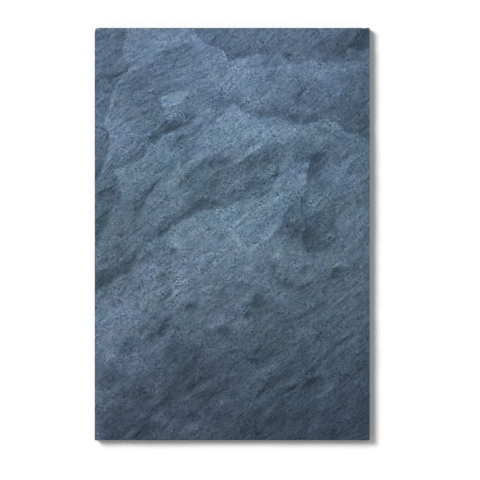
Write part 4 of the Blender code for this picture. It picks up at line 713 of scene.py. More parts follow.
    (-0.4, 4, 316, 96, 330, 108), (-0.5, 3.5, 384, 97, 395, 104), (0.55, 3.5, 365, 97, 371, 101),
    (-0.3, 5, 212, 90, 222, 100), (0.5, 5, 203, 97, 211, 92), (0.3, 7, 316, 90, 340, 97),
    (-0.45, 5, 282, 86, 290, 95), (0.4, 5, 337, 86, 340, 95), (-0.3, 4, 262, 82, 288, 97),
    (-0.3, 4, 360, 86, 376, 92), (0.25, 5, 234, 84, 246, 92), (-0.4, 6, 258, 80, 282, 96),
    (-0.25, 6, 200, 80, 214, 90), (0.3, 4, 278, 80, 292, 90), (-0.45, 6, 304, 78, 334, 92),
    (0.35, 4, 284, 78, 298, 88), (0.5, 3.5, 287, 79, 292, 84), (0.45, 7, 394, 78, 400, 84),
    (0.2, 6, 344, 68, 356, 90), (0.25, 5, 338, 68, 356, 86), (-0.3, 4, 246, 70, 258, 80),
    (-0.45, 3.5, 284, 72, 295, 77), (-0.35, 3, 236, 62, 256, 86), (0.4, 3.5, 341, 69, 350, 79),
    (-0.25, 3, 278, 70, 294, 77), (-0.45, 3, 319, 66, 332, 70), (0.25, 6, 220, 62, 242, 72),
    (0.5, 4, 328, 62, 340, 68), (0.5, 3.5, 330, 63, 336, 66), (0.2, 6, 328, 50, 346, 66),
    (0.4, 4, 233, 55, 245, 54), (-0.35, 5, 380, 48, 398, 58), (0.25, 6, 290, 38, 300, 64),
    (-0.25, 4, 318, 42, 330, 54), (0.2, 7, 318, 40, 350, 54), (-0.3, 4, 352, 38, 370, 48),
    (-0.3, 5, 228, 34, 250, 46), (0.5, 5, 253, 34, 258, 42), (-0.35, 5, 300, 32, 310, 42),
    (0.3, 6, 204, 32, 224, 40), (-0.3, 5, 303, 28, 311, 42), (0.3, 4, 366, 28, 382, 40),
    (-0.25, 5, 232, 30, 256, 37), (0.45, 4, 361, 30, 366, 34), (0.5, 4, 197, 22, 204, 23),
    (-0.45, 4, 271, 20, 278, 20), (0.35, 9, 286, 14, 326, 24), (0.25, 7, 316, 16, 350, 22),
    (0.3, 5, 250, 12, 266, 20), (-0.25, 4, 306, 8, 314, 22), (-0.35, 8, 338, 8, 360, 12),
    (-0.6, 5, 343, 4, 352, 10), (-0.45, 5, 236, 5, 240, 4), (-0.45, 6, 296, 0, 303, 4),
]

PATCHES = [
    Patch("top_left_bright", 0.3, 60, 26, 35, 84, 575),
    Patch("top_bright", 0.25, 46, 16, 10, 138, 590),
    Patch("top_left_strip", -0.32, 60, 24, 90, 14, 560),
    Patch("top_left_curve", -0.06, 40, 12, 25, 118, 572),
    Patch("fibre_zone", -0.22, 60, 36, 25, 78, 505),
    Patch("top_layer", -0.1, 130, 22, 0, 290, 585),
    Patch("top_layer_right", -0.28, 46, 26, 20, 348, 578),
    Patch("corner", -0.5, 45, 18, 40, 384, 582),
    Patch("band_mid_top", 0.32, 80, 28, 5, 185, 540),
    Patch("band_right_top", 0.25, 50, 14, 0, 325, 535),
    Patch("right_violet", -0.25, 60, 28, 10, 345, 500),
    Patch("right_edge_high", -0.3, 60, 24, 95, 392, 495),
    Patch("right_dark", -0.4, 34, 28, 0, 386, 462),
    # painted shade at the foot of the peak's edge
    Patch("above_peak", -0.45, 46, 12, -8, 258, 479),
    Patch("before_peak", 0.25, 46, 18, -25, 214, 504),
    Patch("right_violet_low", -0.2, 18, 10, 40, 369, 514),
    Patch("right_violet_west", 0.15, 24, 14, 30, 338, 514),
    Patch("top_band_dark", -0.15, 36, 10, 0, 262, 564),
    Patch("left_bright", 0.25, 40, 20, 80, 30, 450),
    Patch("left_strip", -0.3, 40, 13, 90, 5, 425),
    Patch("sheet_c", 0.2, 60, 24, 35, 85, 410),
    Patch("inner_sheet", 0.15, 30, 16, 40, 112, 375),
    Patch("peak", 0.45, 60, 26, 30, 200, 455),
    Patch("peak_right", 0.25, 40, 16, 0, 265, 450),
    Patch("peak_far_right", -0.3, 44, 24, 20, 345, 420),
    Patch("lens", -0.25, 70, 22, 35, 182, 375),
    Patch("lens_right", -0.1, 40, 18, 30, 245, 400),
    Patch("left_margin", -0.3, 28, 8, 90, 5, 365),
    Patch("left_low", -0.3, 48, 22, 60, 32, 292),
    Patch("left_low_east", -0.25, 40, 18, 45, 76, 280),
    Patch("sheet_f", 0.4, 70, 34, 20, 195, 310),
    Patch("sheet_f_foot", 0.2, 70, 24, 30, 160, 260),
    Patch("sheet_f_right", 0.3, 40, 16, 40, 275, 375),
    Patch("right_hollow", -0.25, 50, 34, 20, 316, 305),
    Patch("right_band", -0.4, 44, 12, 20, 376, 352),
    Patch("right_low", -0.4, 60, 22, 12, 372, 242),
    Patch("right_side", -0.15, 90, 30, 90, 385, 290),
    Patch("right_rim", -0.3, 22, 9, 90, 395, 385),
    Patch("below_groove", -0.2, 40, 16, 30, 26, 225),
    Patch("low_shade", -0.28, 200, 40, 7, 280, 212),
    Patch("left_light", 0.2, 60, 40, 60, 25, 170),
    Patch("slot_shade", -0.3, 44, 20, 35, 104, 166),
    Patch("low_shade_middle", -0.3, 50, 24, 60, 262, 165),
    Patch("low_left_light", 0.25, 46, 20, 20, 62, 108),
    Patch("low_left_edge", 0.65, 20, 18, 60, 6, 66),
    Patch("low_left_gap", -0.5, 22, 11, 10, 18, 94),
    Patch("low_left_margin", 0.35, 36, 9, 90, 2, 36),
    Patch("bottom_dark", -0.45, 64, 34, 35, 149, 104),
    Patch("bottom_right", -0.45, 120, 50, 20, 330, 30),
    Patch("bottom_middle", -0.5, 50, 20, 5, 240, 18),
    Patch("bottom_corner", -0.35, 50, 20, 0, 372, 16),
    Patch("bottom_left", -0.35, 50, 16, 0, 56, 14),
]

TINTS = [
    Tint("sheets_cool", -0.085, -0.025, 400, 120, 0, 200, 420),
    Tint("left_warm", 0.045, 0.0, 400, 70, 90, 0, 300),
    Tint("low_left_warm", 0.07, 0.0, 120, 130, 0, 110, 60),
    Tint("low_left_grey", 0.0, -0.06, 110, 50, 0, 130, 20),
    Tint("inner_sheet_cool", -0.07, -0.04, 46, 26, 80, 92, 375),
    Tint("sheet_f_cool", -0.045, 0.0, 80, 18, 0, 235, 303),
    Tint("hollow_core_cool", -0.06, 0.0, 20, 18, 0, 330, 303),
    Tint("right_hollow_cool", -0.05, 0.02, 70, 40, 60, 290, 360),
    Tint("middle_warm", 0.05, 0.0, 60, 32, 90, 180, 175),
    Tint("low_pale", -0.05, -0.06, 40, 25, 30, 262, 88),
    Tint("low_right_blue", 0.02, 0.06, 32, 22, 30, 335, 76),
    Tint("right_violet_blue", 0.0, 0.04, 50, 25, 10, 340, 500),
    Tint("low_left_rust", 0.05, -0.04, 25, 25, 0, 15, 105),
    Tint("bottom_left_warm", 0.045, 0.0, 130, 22, 0, 60, 18),
    Tint("corner_warm", 0.07, 0.0, 55, 26, 15, 348, 583),
    Tint("scallop_warm", 0.06, -0.03, 36, 30, 0, 262, 212),
    Tint("low_right_warm", 0.035, 0.02, 30, 45, 0, 362, 108),
    Tint("low_right_cool", -0.045, 0.0, 130, 75, 0, 320, 85),
    Tint("low_middle_warm", 0.06, 0.0, 22, 22, 0, 192, 58),
    Tint("top_left_cool", -0.06, 0.0, 20, 20, 0, 88, 583),
    Tint("chip_grey", 0.0, -0.05, 16, 8, 10, 108, 494),
    Tint("left_groove_cool", -0.06, 0.0, 26, 20, 0, 12, 234),
    Tint("right_side_warm", 0.05, 0.0, 26, 26, 0, 368, 300),
    Tint("lens_warm", 0.05, 0.02, 34, 18, 0, 172, 345),
    Tint("groove_grey", 0.0, -0.04, 34, 24, 40, 104, 322),
]


# ---------------------------------------------------------------- noise and curves
def scatter(ix, iy, seed):
    """A repeatable number from 0 to 1 for each whole-numbered place."""
    n = (ix * 374761393 + iy * 668265263 + seed * 974634777) & 0xFFFFFFFF
    n = ((n ^ (n >> 13)) * 1274126177) & 0xFFFFFFFF
    n = ((n ^ (n >> 15)) * 2246822519) & 0xFFFFFFFF
    return ((n ^ (n >> 16)) & 0xFFFF) / 65536.0


def noise(x, y, seed):
    """Smooth gradient noise of wavelength 1, from about -1 to 1."""
    ix = np.floor(x).astype(np.int64)
    iy = np.floor(y).astype(np.int64)
    fx = x - ix
    fy = y - iy

    def corner(dx, dy):
        angle = 2 * np.pi * scatter(ix + dx, iy + dy, seed)
        return np.cos(angle) * (fx - dx) + np.sin(angle) * (fy - dy)

    sx = fx ** 3 * (fx * (6 * fx - 15) + 10)
    sy = fy ** 3 * (fy * (6 * fy - 15) + 10)
    low = corner(0, 0) * (1 - sx) + corner(1, 0) * sx
    high = corner(0, 1) * (1 - sx) + corner(1, 1) * sx
    return 1.5 * (low * (1 - sy) + high * sy)


def layered(x, y, layers, first_seed=0):
    """The sum of layers of noise."""
    return sum(strength * noise(x / length_x, y / length_y, first_seed + seed)
               for strength, length_x, length_y, seed in layers)


def smooth(t):
    """0 up to t = 0, 1 from t = 1 on, and a soft curve between."""
    t = np.clip(t, 0, 1)
    return t * t * (3 - 2 * t)


def stairs(t):
    """Rises by 1 with each whole number, in a short steep step."""
    level = np.floor(t)
    return level - 0.5 + smooth((t - level) / TERRACE_EDGE)


def flakes(t):
    """-0.5 or 0.5, with a short slope between them."""
    return smooth(t / FLAKE_EDGE + 0.5) - 0.5


# ---------------------------------------------------------------- distances
def to_line(x, y, line):
    """Distance to an open line, positive on its left, the length walked along it to the nearest
    point, and the line's whole length."""
    best = np.full(x.shape, 1e9)
    side = np.zeros(x.shape)
    walked = np.zeros(x.shape)
    start = 0.0
    for (ax, ay), (bx, by) in zip(line, line[1:]):
        dx, dy = bx - ax, by - ay
        length = np.hypot(dx, dy)
        t = np.clip(((x - ax) * dx + (y - ay) * dy) / length ** 2, 0, 1)
        gap = np.hypot(x - ax - t * dx, y - ay - t * dy)
        across = (dx * (y - ay) - dy * (x - ax)) / length
        closer = (gap < best - 1e-6) | ((gap < best + 1e-6) & (np.abs(across) > np.abs(side)))
        best = np.where(closer, gap, best)
        side = np.where(closer, across, side)
        walked = np.where(closer, start + t * length, walked)
        start += length
    return np.where(side < 0, -best, best), walked, start


def to_outline(x, y, outline):
    """Distance to a closed outline, positive inside, and the direction that leads inwards."""
    best = np.full(x.shape, 1e9)
    inside = np.zeros(x.shape, bool)
    away_x = np.zeros(x.shape)
    away_y = np.zeros(x.shape)
    for (ax, ay), (bx, by) in zip(outline, outline[1:] + outline[:1]):
        dx, dy = bx - ax, by - ay
        t = np.clip(((x - ax) * dx + (y - ay) * dy) / (dx * dx + dy * dy), 0, 1)
        vx = x - ax - t * dx
        vy = y - ay - t * dy
        gap = np.hypot(vx, vy)
        closer = gap < best
        best = np.where(closer, gap, best)
        away_x = np.where(closer, vx, away_x)
        away_y = np.where(closer, vy, away_y)
        if dy:
            inside ^= ((ay > y) != (by > y)) & (x < ax + (y - ay) * dx / dy)
    sign = np.where(inside, 1, -1)
    size = np.maximum(best, 1e-6) * sign
    return best * sign, away_x / size, away_y / size


def near(x, y, points, reach):
    """Which places lie within reach of the box around the points."""
    px, py = zip(*points)
    return ((x > min(px) - reach) & (x < max(px) + reach)
            & (y > min(py) - reach) & (y < max(py) + reach))


def dying_out(walked, length, end):
    """0 at both ends of a line and 1 along its middle."""
    return smooth(np.minimum(walked, length - walked) / min(end, length / 3))


def share(x, y, patch):
    """1 in the middle of a patch or a tint, fading to 0 around it."""
    angle = np.radians(patch.angle)
    along = (x - patch.x) * np.cos(angle) + (y - patch.y) * np.sin(angle)
    across = (y - patch.y) * np.cos(angle) - (x - patch.x) * np.sin(angle)
    return np.exp(-(along / patch.along) ** 2 - (across / patch.across) ** 2)


def varied(x, y, usual, areas):
    """A strength that has its usual value in most places, and is changed in some areas."""
    return usual + sum(area.change * np.exp(-((x - area.x) / area.reach_x) ** 2
                                            - ((y - area.y) / area.reach_y) ** 2)
                       for area in areas)


def below(y, level, fade):
    """0 above a level, growing to 1 over the fade below it."""
    return smooth((level - y) / fade)


# ---------------------------------------------------------------- the riven face
def wander(x, y):
    """How far the broken edges are shifted from their lines at each place."""
    dx = RAGGED * noise(x / RAGGED_LENGTH, y / RAGGED_LENGTH, 11)
    dy = RAGGED * noise(x / RAGGED_LENGTH, y / RAGGED_LENGTH, 13)
    dx += NIBBLED * noise(x / NIBBLED_LENGTH, y / NIBBLED_LENGTH, 12)
    dy += NIBBLED * noise(x / NIBBLED_LENGTH, y / NIBBLED_LENGTH, 14)
    return dx, dy


def add_ledge(x, y, ledge, height, tone):
    """The sheet stands up behind its edge and lies down again; the ground dips before it."""
    here = near(x, y, ledge.line, max(2.2 * ledge.run, 4 * ledge.reach))
    distance, walked, length = to_line(x[here], y[here], ledge.line)
    ends = dying_out(walked, length, LEDGE_END)
    up = smooth(distance / ledge.face + 0.5)
    behind = np.exp(-1.2 * (np.maximum(distance, 0) / ledge.run) ** 2)
    before = np.exp(-(np.maximum(-distance, 0) / ledge.reach) ** 1.3)
    rim = np.exp(-np.maximum(distance, 0) / RIM_TONE_AND_HIGHLIGHT_WIDTH)
    height[here] += ends * (ledge.step * up * behind - ledge.dip * (1 - up) * before)
    # the rim's tone is partly a painted highlight, and what is taken off the foot is painted shade
    tone[here] += ends * (ledge.rim * up * rim - ledge.shade * (1 - up) * before)


def add_hollow(x, y, hollow, height, tone):
    """Steep below the upper left rim, and a gentle slope up to the lower right rim."""
    here = near(x, y, hollow.outline, 3)
    distance, inward_x, inward_y = to_outline(x[here], y[here], hollow.outline)
    steep = 0.5 + 0.35 * (inward_x - inward_y)
    width = steep * hollow.wall + (1 - steep) * hollow.apron
    height[here] -= hollow.depth * smooth(distance / width + 0.15)
    # painted shade on the floor of the hollow
    tone[here] -= hollow.shade * smooth(distance / (0.8 * width) + 0.3)


def add_ridge(x, y, ridge, height, tone):
    """A rounded bead or groove along the line."""
    here = near(x, y, ridge.line, 3 * ridge.width)
    distance, walked, length = to_line(x[here], y[here], ridge.line)
    bump = np.exp(-(distance / ridge.width) ** 2) * dying_out(walked, length, RIDGE_END)
    height[here] += ridge.height * bump
    # painted highlight along a ridge, painted shade in a groove
    tone[here] += ridge.tone * bump


def add_streak(x, y, streak, height, tone):
    """A straight bead, or a groove if it is dark, that hardly thins out before its ends."""
    half = np.hypot(streak.end_x - streak.start_x, streak.end_y - streak.start_y) / 2
    run_x = (streak.end_x - streak.start_x) / (2 * half)
    run_y = (streak.end_y - streak.start_y) / (2 * half)
    from_x = x - (streak.start_x + streak.end_x) / 2
    from_y = y - (streak.start_y + streak.end_y) / 2
    along = (from_x * run_x + from_y * run_y) / (half + streak.width / 2)
    across = (from_y * run_x - from_x * run_y) / streak.width
    bump = streak.tone * np.exp(-along ** 4 - across ** 2)
    height += STREAK_HEIGHT * bump
    tone += bump


def drawn_features(x, y):
    """Height of the face and tone of its features, before the fibres and flakes are added."""
    height = MEAN_LEVEL + SWELL * noise(x / SWELL_X, y / SWELL_Y, 21)
    height += RIPPLE * noise(x / RIPPLE_LENGTH, y / RIPPLE_LENGTH, 22)
    tone = np.zeros(x.shape)
    dx, dy = wander(x, y)
    x = x + dx
    y = y + dy
    for ledge in LEDGES:
        add_ledge(x, y, ledge, height, tone)
    for hollow in HOLLOWS:
        add_hollow(x, y, hollow, height, tone)
    for ridge in RIDGES:
        add_ridge(x, y, ridge, height, tone)
    for streak in STREAKS:
        add_streak(x, y, Streak(*streak), height, tone)
    chip = smooth(to_outline(x, y, CHIP)[0] / CHIP_EDGE + 0.5)
    return height + CHIP_THICKNESS * chip, tone + CHIP_TONE * chip


def grain_places(x, y):
    """How far each place lies along the fibres and across them. They turn gently around
    GRAIN_CENTRE, and waver."""
    from_x = x - GRAIN_CENTRE[0]
    from_y = y - GRAIN_CENTRE[1]
    turned = np.exp(-(from_x / GRAIN_REACH[0]) ** 2 - (from_y / GRAIN_REACH[1]) ** 2)
    angle = np.radians(MAIN_GRAIN + (UPPER_LEFT_GRAIN - MAIN_GRAIN) * turned)
    from_x = from_x + layered(x, y, WAVER_X)
    from_y = from_y + layered(x, y, WAVER_Y)
    return (from_x * np.cos(angle) + from_y * np.sin(angle),
            from_y * np.cos(angle) - from_x * np.sin(angle))


def skin(x, y, along, across):
    """Height and tone of the fibres, small terraces and flakes of the split."""

    def ragged(fibre_layer, edge_layer):
        return layered(along, across, [fibre_layer]) + layered(x, y, [edge_layer])

    rough = varied(x, y, 1, SKIN_AREAS)
    height = layered(along, across, FIBRE_HEIGHT) + rough * layered(x, y, LUMP_HEIGHT)
    for rise, fibre_layer, edge_layer in TERRACES:
        height += rough * rise * stairs(ragged(fibre_layer, edge_layer))
    tone = layered(along, across, FIBRE_TONE) + layered(x, y, SPOT_TONE)
    for contrast, fibre_layer, edge_layer in FLAKES:
        tone += contrast * flakes(ragged(fibre_layer, edge_layer))
    tone += varied(x, y, 0, CLUMP_AREAS) * layered(x, y, CLUMP_TONE)
    return height, rough * tone


def broad_tone(x, y, patch_x, patch_y):
    """Tone of the patches, and of the shade over the lower part of the face."""
    shade = below(y, SHADE_LEVEL + SHADE_SLOPE * x, SHADE_FADE)
    patches = sum(patch.tone * share(patch_x, patch_y, patch) for patch in PATCHES)
    return patches + UPPER_TONE - LOWER_SHADE * shade


def hue(x, y, tint_x, tint_y, tone, drawn, skin_tone):
    """Redness and blueness of each place. They follow the tone, change slowly up the face and
    are mottled, and the tints are added."""
    both = BOTH_MOTTLE_STRENGTH * layered(x, y, MOTTLE, BOTH_MOTTLE)
    red = RED + both + RED_MOTTLE_STRENGTH * layered(x, y, MOTTLE, RED_MOTTLE)
    red += TONE_RED * tone + SKIN_RED * skin_tone
    red += DRAWN_RED * drawn * (1 + below(y, LOW_DRAWN_LEVEL, LOW_DRAWN_FADE))
    red += BAND_RED * np.exp(-((y - BAND_LEVEL) / BAND_REACH) ** 2)
    red += LOW_RED * below(y, LOW_RED_LEVEL, LOW_RED_FADE)
    blue = BLUE + both + layered(x, y, MOTTLE, BLUE_MOTTLE)
    blue += TONE_BLUE * tone + SKIN_BLUE * skin_tone + DRAWN_BLUE * drawn
    blue += LOW_BLUE * below(y, LOW_BLUE_LEVEL, LOW_BLUE_FADE)
    blue -= END_BLUE * np.cos(np.pi * (y - MIDDLE_LEVEL) / MIDDLE_TO_END)
    for tint in TINTS:
        place = share(tint_x, tint_y, tint)
        red += tint.red * place
        blue += tint.blue * place
    return red, blue


def wear_edges(x, y, height, tone, red, blue):
    """The lower and right edges are worn down and carry painted shade, as they face away from the
    lamp; the outermost millimetre of all four has rusted, and that of the upper and left edges darkened.
    """
    near_edge = np.minimum(y, WIDTH - x)
    height -= NEAR_EDGE_DROP * np.exp(-near_edge / NEAR_EDGE_REACH)
    # painted shade along the lower and right edges, which face away from the lamp
    tone -= NEAR_EDGE_SHADE * np.exp(-near_edge / NEAR_SHADE_REACH)
    near_line = np.exp(-near_edge)
    far_line = np.exp(-np.minimum(LENGTH - y, x))
    tone -= FAR_EDGE_SHADE * far_line
    red += FAR_EDGE_RED * far_line + NEAR_EDGE_RED * near_line
    blue += FAR_EDGE_BLUE * far_line + NEAR_EDGE_BLUE * near_line


def flattened(height):
    """The highest ground, pressed down to stay below THICKNESS."""
    limit = THICKNESS - SHOULDER
    over = np.maximum(height - limit, 0)
    return np.minimum(height, limit) + SHOULDER * (1 - np.exp(-over / SHOULDER))


def riven_face(x, y):
    """Of each place of the riven face: height, tone, redness, blueness, and how far it lies along
    the fibres and across them."""
    height, drawn = drawn_features(x, y)
    along, across = grain_places(x, y)
    skin_height, skin_tone = skin(x, y, along, across)
    height += skin_height
    patch_x = x + layered(x, y, BORDER_X)
    patch_y = y + layered(x, y, BORDER_Y)
    tone = drawn + skin_tone + broad_tone(x, y, patch_x, patch_y)
    red, blue = hue(x, y, patch_x, patch_y, tone, drawn, skin_tone)
    wear_edges(x, y, height, tone, red, blue)
    return flattened(height), tone, red, blue, along, across


def uneven_grit(x, y):
    """How strong the grit and the streaks of the material are at each place."""
    grit = np.exp(layered(x, y, GRIT_STRENGTH))
    grit *= varied(x, y, 1, ROUGH_AREAS) * varied(x, y, 1, SMOOTH_AREAS)
    grit *= varied(x, y, 1 - TOP_CALM * smooth((y - TOP_LEVEL) / TOP_FADE), FIBRE_AREAS)
    grit *= varied(x, y, 1, CHIP_GRIT)
    streaks = varied(x, y, STREAKS_ELSEWHERE, STREAKY_AREAS)
    streaks *= varied(x, y, 1, PLAIN_AREAS) * varied(x, y, 1, CHIP_STREAKS)
    return grit, streaks


# ---------------------------------------------------------------- the mesh
FACE_VALUES = ("tone", "red", "blue", "along", "across", "grit", "streaks")


def chipped(x, y):
    """The points near the upper left corner are pushed in, which breaks the corner off."""
    reach = x + LENGTH - y
    wanted = CORNER_CHIP + reach * (CHIP_SPREAD - CORNER_CHIP) / CHIP_SPREAD
    push = np.where(reach < CHIP_SPREAD, (wanted - reach) / 2, 0)
    return x + push, y - push


def rim_numbers():
    """Numbers of the riven face's border points, anticlockwise from the lower left corner."""
    bottom = list(range(COLUMNS - 1))
    right = [row * COLUMNS + COLUMNS - 1 for row in range(ROWS - 1)]
    top = [(ROWS - 1) * COLUMNS + column for column in range(COLUMNS - 1, 0, -1)]
    left = [row * COLUMNS for row in range(ROWS - 1, 0, -1)]
    return np.array(bottom + right + top + left)


def riven_triangles():
    """Each square of the face is split along its rising diagonal, as the ledges mostly run."""
    number = np.arange(ROWS * COLUMNS).reshape(ROWS, COLUMNS)
    lower_left = number[:-1, :-1].ravel()
    lower_right = number[:-1, 1:].ravel()
    upper_left = number[1:, :-1].ravel()
    upper_right = number[1:, 1:].ravel()
    right_halves = np.stack([lower_left, lower_right, upper_right], axis=1)
    left_halves = np.stack([lower_left, upper_right, upper_left], axis=1)
    return np.concatenate([right_halves, left_halves])


def inwards(rim_x, rim_y):
    """The direction that leads into the slab from each point of its border."""
    on_side_x = (rim_x < ON_SIDE) | (rim_x > WIDTH - ON_SIDE)
    on_side_y = (rim_y < ON_SIDE) | (rim_y > LENGTH - ON_SIDE)
    broken_corner = ~on_side_x & ~on_side_y
    into_x = np.where(broken_corner, DIAGONAL, np.sign(WIDTH / 2 - rim_x) * on_side_x)
    into_y = np.where(broken_corner, -DIAGONAL, np.sign(LENGTH / 2 - rim_y) * on_side_y)
    return into_x, into_y


def nicked(rim_x, rim_y, rim_height):
    """The border points of the riven face, with the face's edge chipped and worn."""
    walked = rim_x - rim_y          # changes evenly along each side
    nick = NICK_DEPTH * smooth(2.2 * noise(walked / 7, rim_x / 31, 71) - 0.9)
    nick += ARRIS_WEAR * (1 + noise(walked / 2.6, rim_y / 19, 72))
    into_x, into_y = inwards(rim_x, rim_y)
    return rim_x + nick * into_x, rim_y + nick * into_y, rim_height - NICK_DROP * nick


def side_rings(rim_x, rim_y, rim_height):
    """Rings of points down the sides. The last one is the eased edge of the back."""
    walked = rim_x - rim_y
    into_x, into_y = inwards(rim_x, rim_y)
    rings = []
    for level, depth in SIDE_LEVELS:
        wear = depth * (1 + noise(walked / 11, rim_x / 40 + 9 * level, 73))
        z = BACK_ARRIS + (rim_height - BACK_ARRIS) * level
        rings.append(np.stack([rim_x + wear * into_x, rim_y + wear * into_y, z], axis=1))
    eased = np.stack([rim_x + BACK_ARRIS * into_x, rim_y + BACK_ARRIS * into_y, 0 * rim_x], axis=1)
    return rings + [eased]


def strip(upper, lower):
    """Triangles between two rings of points that run anticlockwise seen from above."""
    upper_next = np.roll(upper, -1)
    lower_next = np.roll(lower, -1)
    first = np.stack([lower, lower_next, upper_next], axis=1)
    second = np.stack([lower, upper_next, upper], axis=1)
    return np.concatenate([first, second])


def back_lift(x, y):
    """Low spots that grinding left in the back."""
    low = smooth((layered(x, y, BACK_LOWS) - 0.25) / 0.5)
    away = np.minimum(np.minimum(x, WIDTH - x), np.minimum(y, LENGTH - y))
    return BACK_LOW_DEPTH * low * smooth((away - BACK_LOW_MARGIN) / BACK_LOW_FADE)


def back_mesh(eased, ring, total):
    """The back inside its eased edge: new points, and triangles that face down. ring holds the
    numbers of the eased edge's points, and total is how many points there are already."""
    across = np.arange(BACK_SPACING, WIDTH - BACK_SPACING / 2, BACK_SPACING)
    along = np.arange(BACK_SPACING, LENGTH - BACK_SPACING / 2, BACK_SPACING)
    x, y = np.meshgrid(across, along)
    x = x + np.where(np.arange(len(along)) % 2, 0, BACK_SPACING / 2)[:, None]
    x = x.ravel()
    y = y.ravel()
    keep = x < WIDTH - BACK_SPACING / 2
    inner = np.stack([x[keep], y[keep], back_lift(x[keep], y[keep])], axis=1)
    places = [(float(px), float(py)) for px, py in np.concatenate([eased[:, :2], inner[:, :2]])]
    border = [(i, (i + 1) % len(eased)) for i in range(len(eased))]
    result = delaunay_2d_cdt(places, border, [], 1, 1e-4)
    numbers = np.concatenate([ring, np.arange(total, total + len(inner))])
    source = np.array([sources[0] for sources in result[3]])
    triangles = numbers[source[np.array(result[2])]]
    return inner, triangles[:, ::-1]


def slab_geometry():
    """Points, triangles, the material of each triangle, and the values of each point, which are
    0 but on the riven face."""
    x, y = np.meshgrid(np.linspace(0, WIDTH, COLUMNS), np.linspace(0, LENGTH, ROWS))
    x, y = chipped(x.ravel(), y.ravel())
    height, *looks = riven_face(x, y)
    looks.extend(uneven_grit(x, y))

    rim = rim_numbers()
    side_points = side_rings(x[rim], y[rim], height[rim])
    x[rim], y[rim], height[rim] = nicked(x[rim], y[rim], height[rim])
    rings = [rim]
    total = len(x)
    for ring in side_points:
        rings.append(np.arange(total, total + len(ring)))
        total += len(ring)
    back_points, back_triangles = back_mesh(side_points[-1], rings[-1], total)

    bands = [strip(upper, lower) for upper, lower in zip(rings, rings[1:])]
    parts = [riven_triangles(), *bands, back_triangles]
    kinds = np.repeat([RIVEN] + [SAWN] * len(bands) + [GROUND], [len(part) for part in parts])
    points = np.concatenate([np.stack([x, y, height], axis=1), *side_points, back_points])
    values = np.zeros((len(points), len(FACE_VALUES)))
    values[:len(x)] = np.stack(looks, axis=1)
    return points, np.concatenate(parts), kinds, values


def make_slab(materials):
    """The slab's object, its back on the floor and its middle over the origin."""
    points, faces, kinds, values = slab_geometry()
    points = (points - (WIDTH / 2, LENGTH / 2, 0)) * MM
    mesh = bpy.data.meshes.new("riven_slab")
    mesh.vertices.add(len(points))
    mesh.vertices.foreach_set("co", points.ravel())
    mesh.loops.add(3 * len(faces))
    mesh.loops.foreach_set("vertex_index", faces.ravel().astype(np.int32))
    mesh.polygons.add(len(faces))
    mesh.polygons.foreach_set("loop_start", np.arange(0, 3 * len(faces), 3, dtype=np.int32))
    mesh.polygons.foreach_set("material_index", kinds.astype(np.int32))
    mesh.update(calc_edges=True)
    for column, name in enumerate(FACE_VALUES):
        layer = mesh.attributes.new(name, "FLOAT", "POINT")
        layer.data.foreach_set("value", values[:, column].astype(np.float32))
    for material in materials:
        mesh.materials.append(material)
    mesh.shade_smooth()
    mesh.set_sharp_from_angle(angle=SHARP_ANGLE)
    mesh.validate()
    unfold(mesh, kinds)
    slab = bpy.data.objects.new("riven_slab", mesh)
    bpy.context.scene.collection.objects.link(slab)
    return slab


def unfold(mesh, kinds):
    """The map that materials are baked to: most of it for the riven face, the rest for the back
    and the four sides."""
    corners = np.empty(len(mesh.loops), np.int32)
    mesh.loops.foreach_get("vertex_index", corners)
    places = np.empty(3 * len(mesh.vertices))
    mesh.vertices.foreach_get("co", places)
    places = places.reshape(-1, 3)[corners] / MM + (WIDTH / 2, LENGTH / 2, 0)
    x, y, z = places.T
    face = np.stack([MAP_MARGIN + FACE_MAP_WIDTH * x / WIDTH,
                     MAP_MARGIN + FACE_MAP_HEIGHT * y / LENGTH], axis=1)
    back = np.stack([BACK_MAP_START + BACK_MAP_WIDTH * x / WIDTH,
                     MAP_MARGIN + BACK_MAP_HEIGHT * y / LENGTH], axis=1)
    middle = np.repeat(places.reshape(-1, 3, 3).mean(axis=1), 3, axis=0)
    gaps = np.stack([middle[:, 0], WIDTH - middle[:, 0], middle[:, 1], LENGTH - middle[:, 1]])
    side = np.argmin(gaps, axis=0)
    along = np.where(side < 2, y, x) / LENGTH
    strips = np.stack([STRIPS_X + STRIP_STEP * side + STRIP_WIDTH * z / THICKNESS,
                       STRIPS_Y + STRIP_HEIGHT * along], axis=1)
    kind = np.repeat(kinds, 3)[:, None]
    uv = np.where(kind == RIVEN, face, np.where(kind == SAWN, strips, back))
    layer = mesh.uv_layers.new(name="OFBake")
    layer.data.foreach_set("uv", uv.ravel())


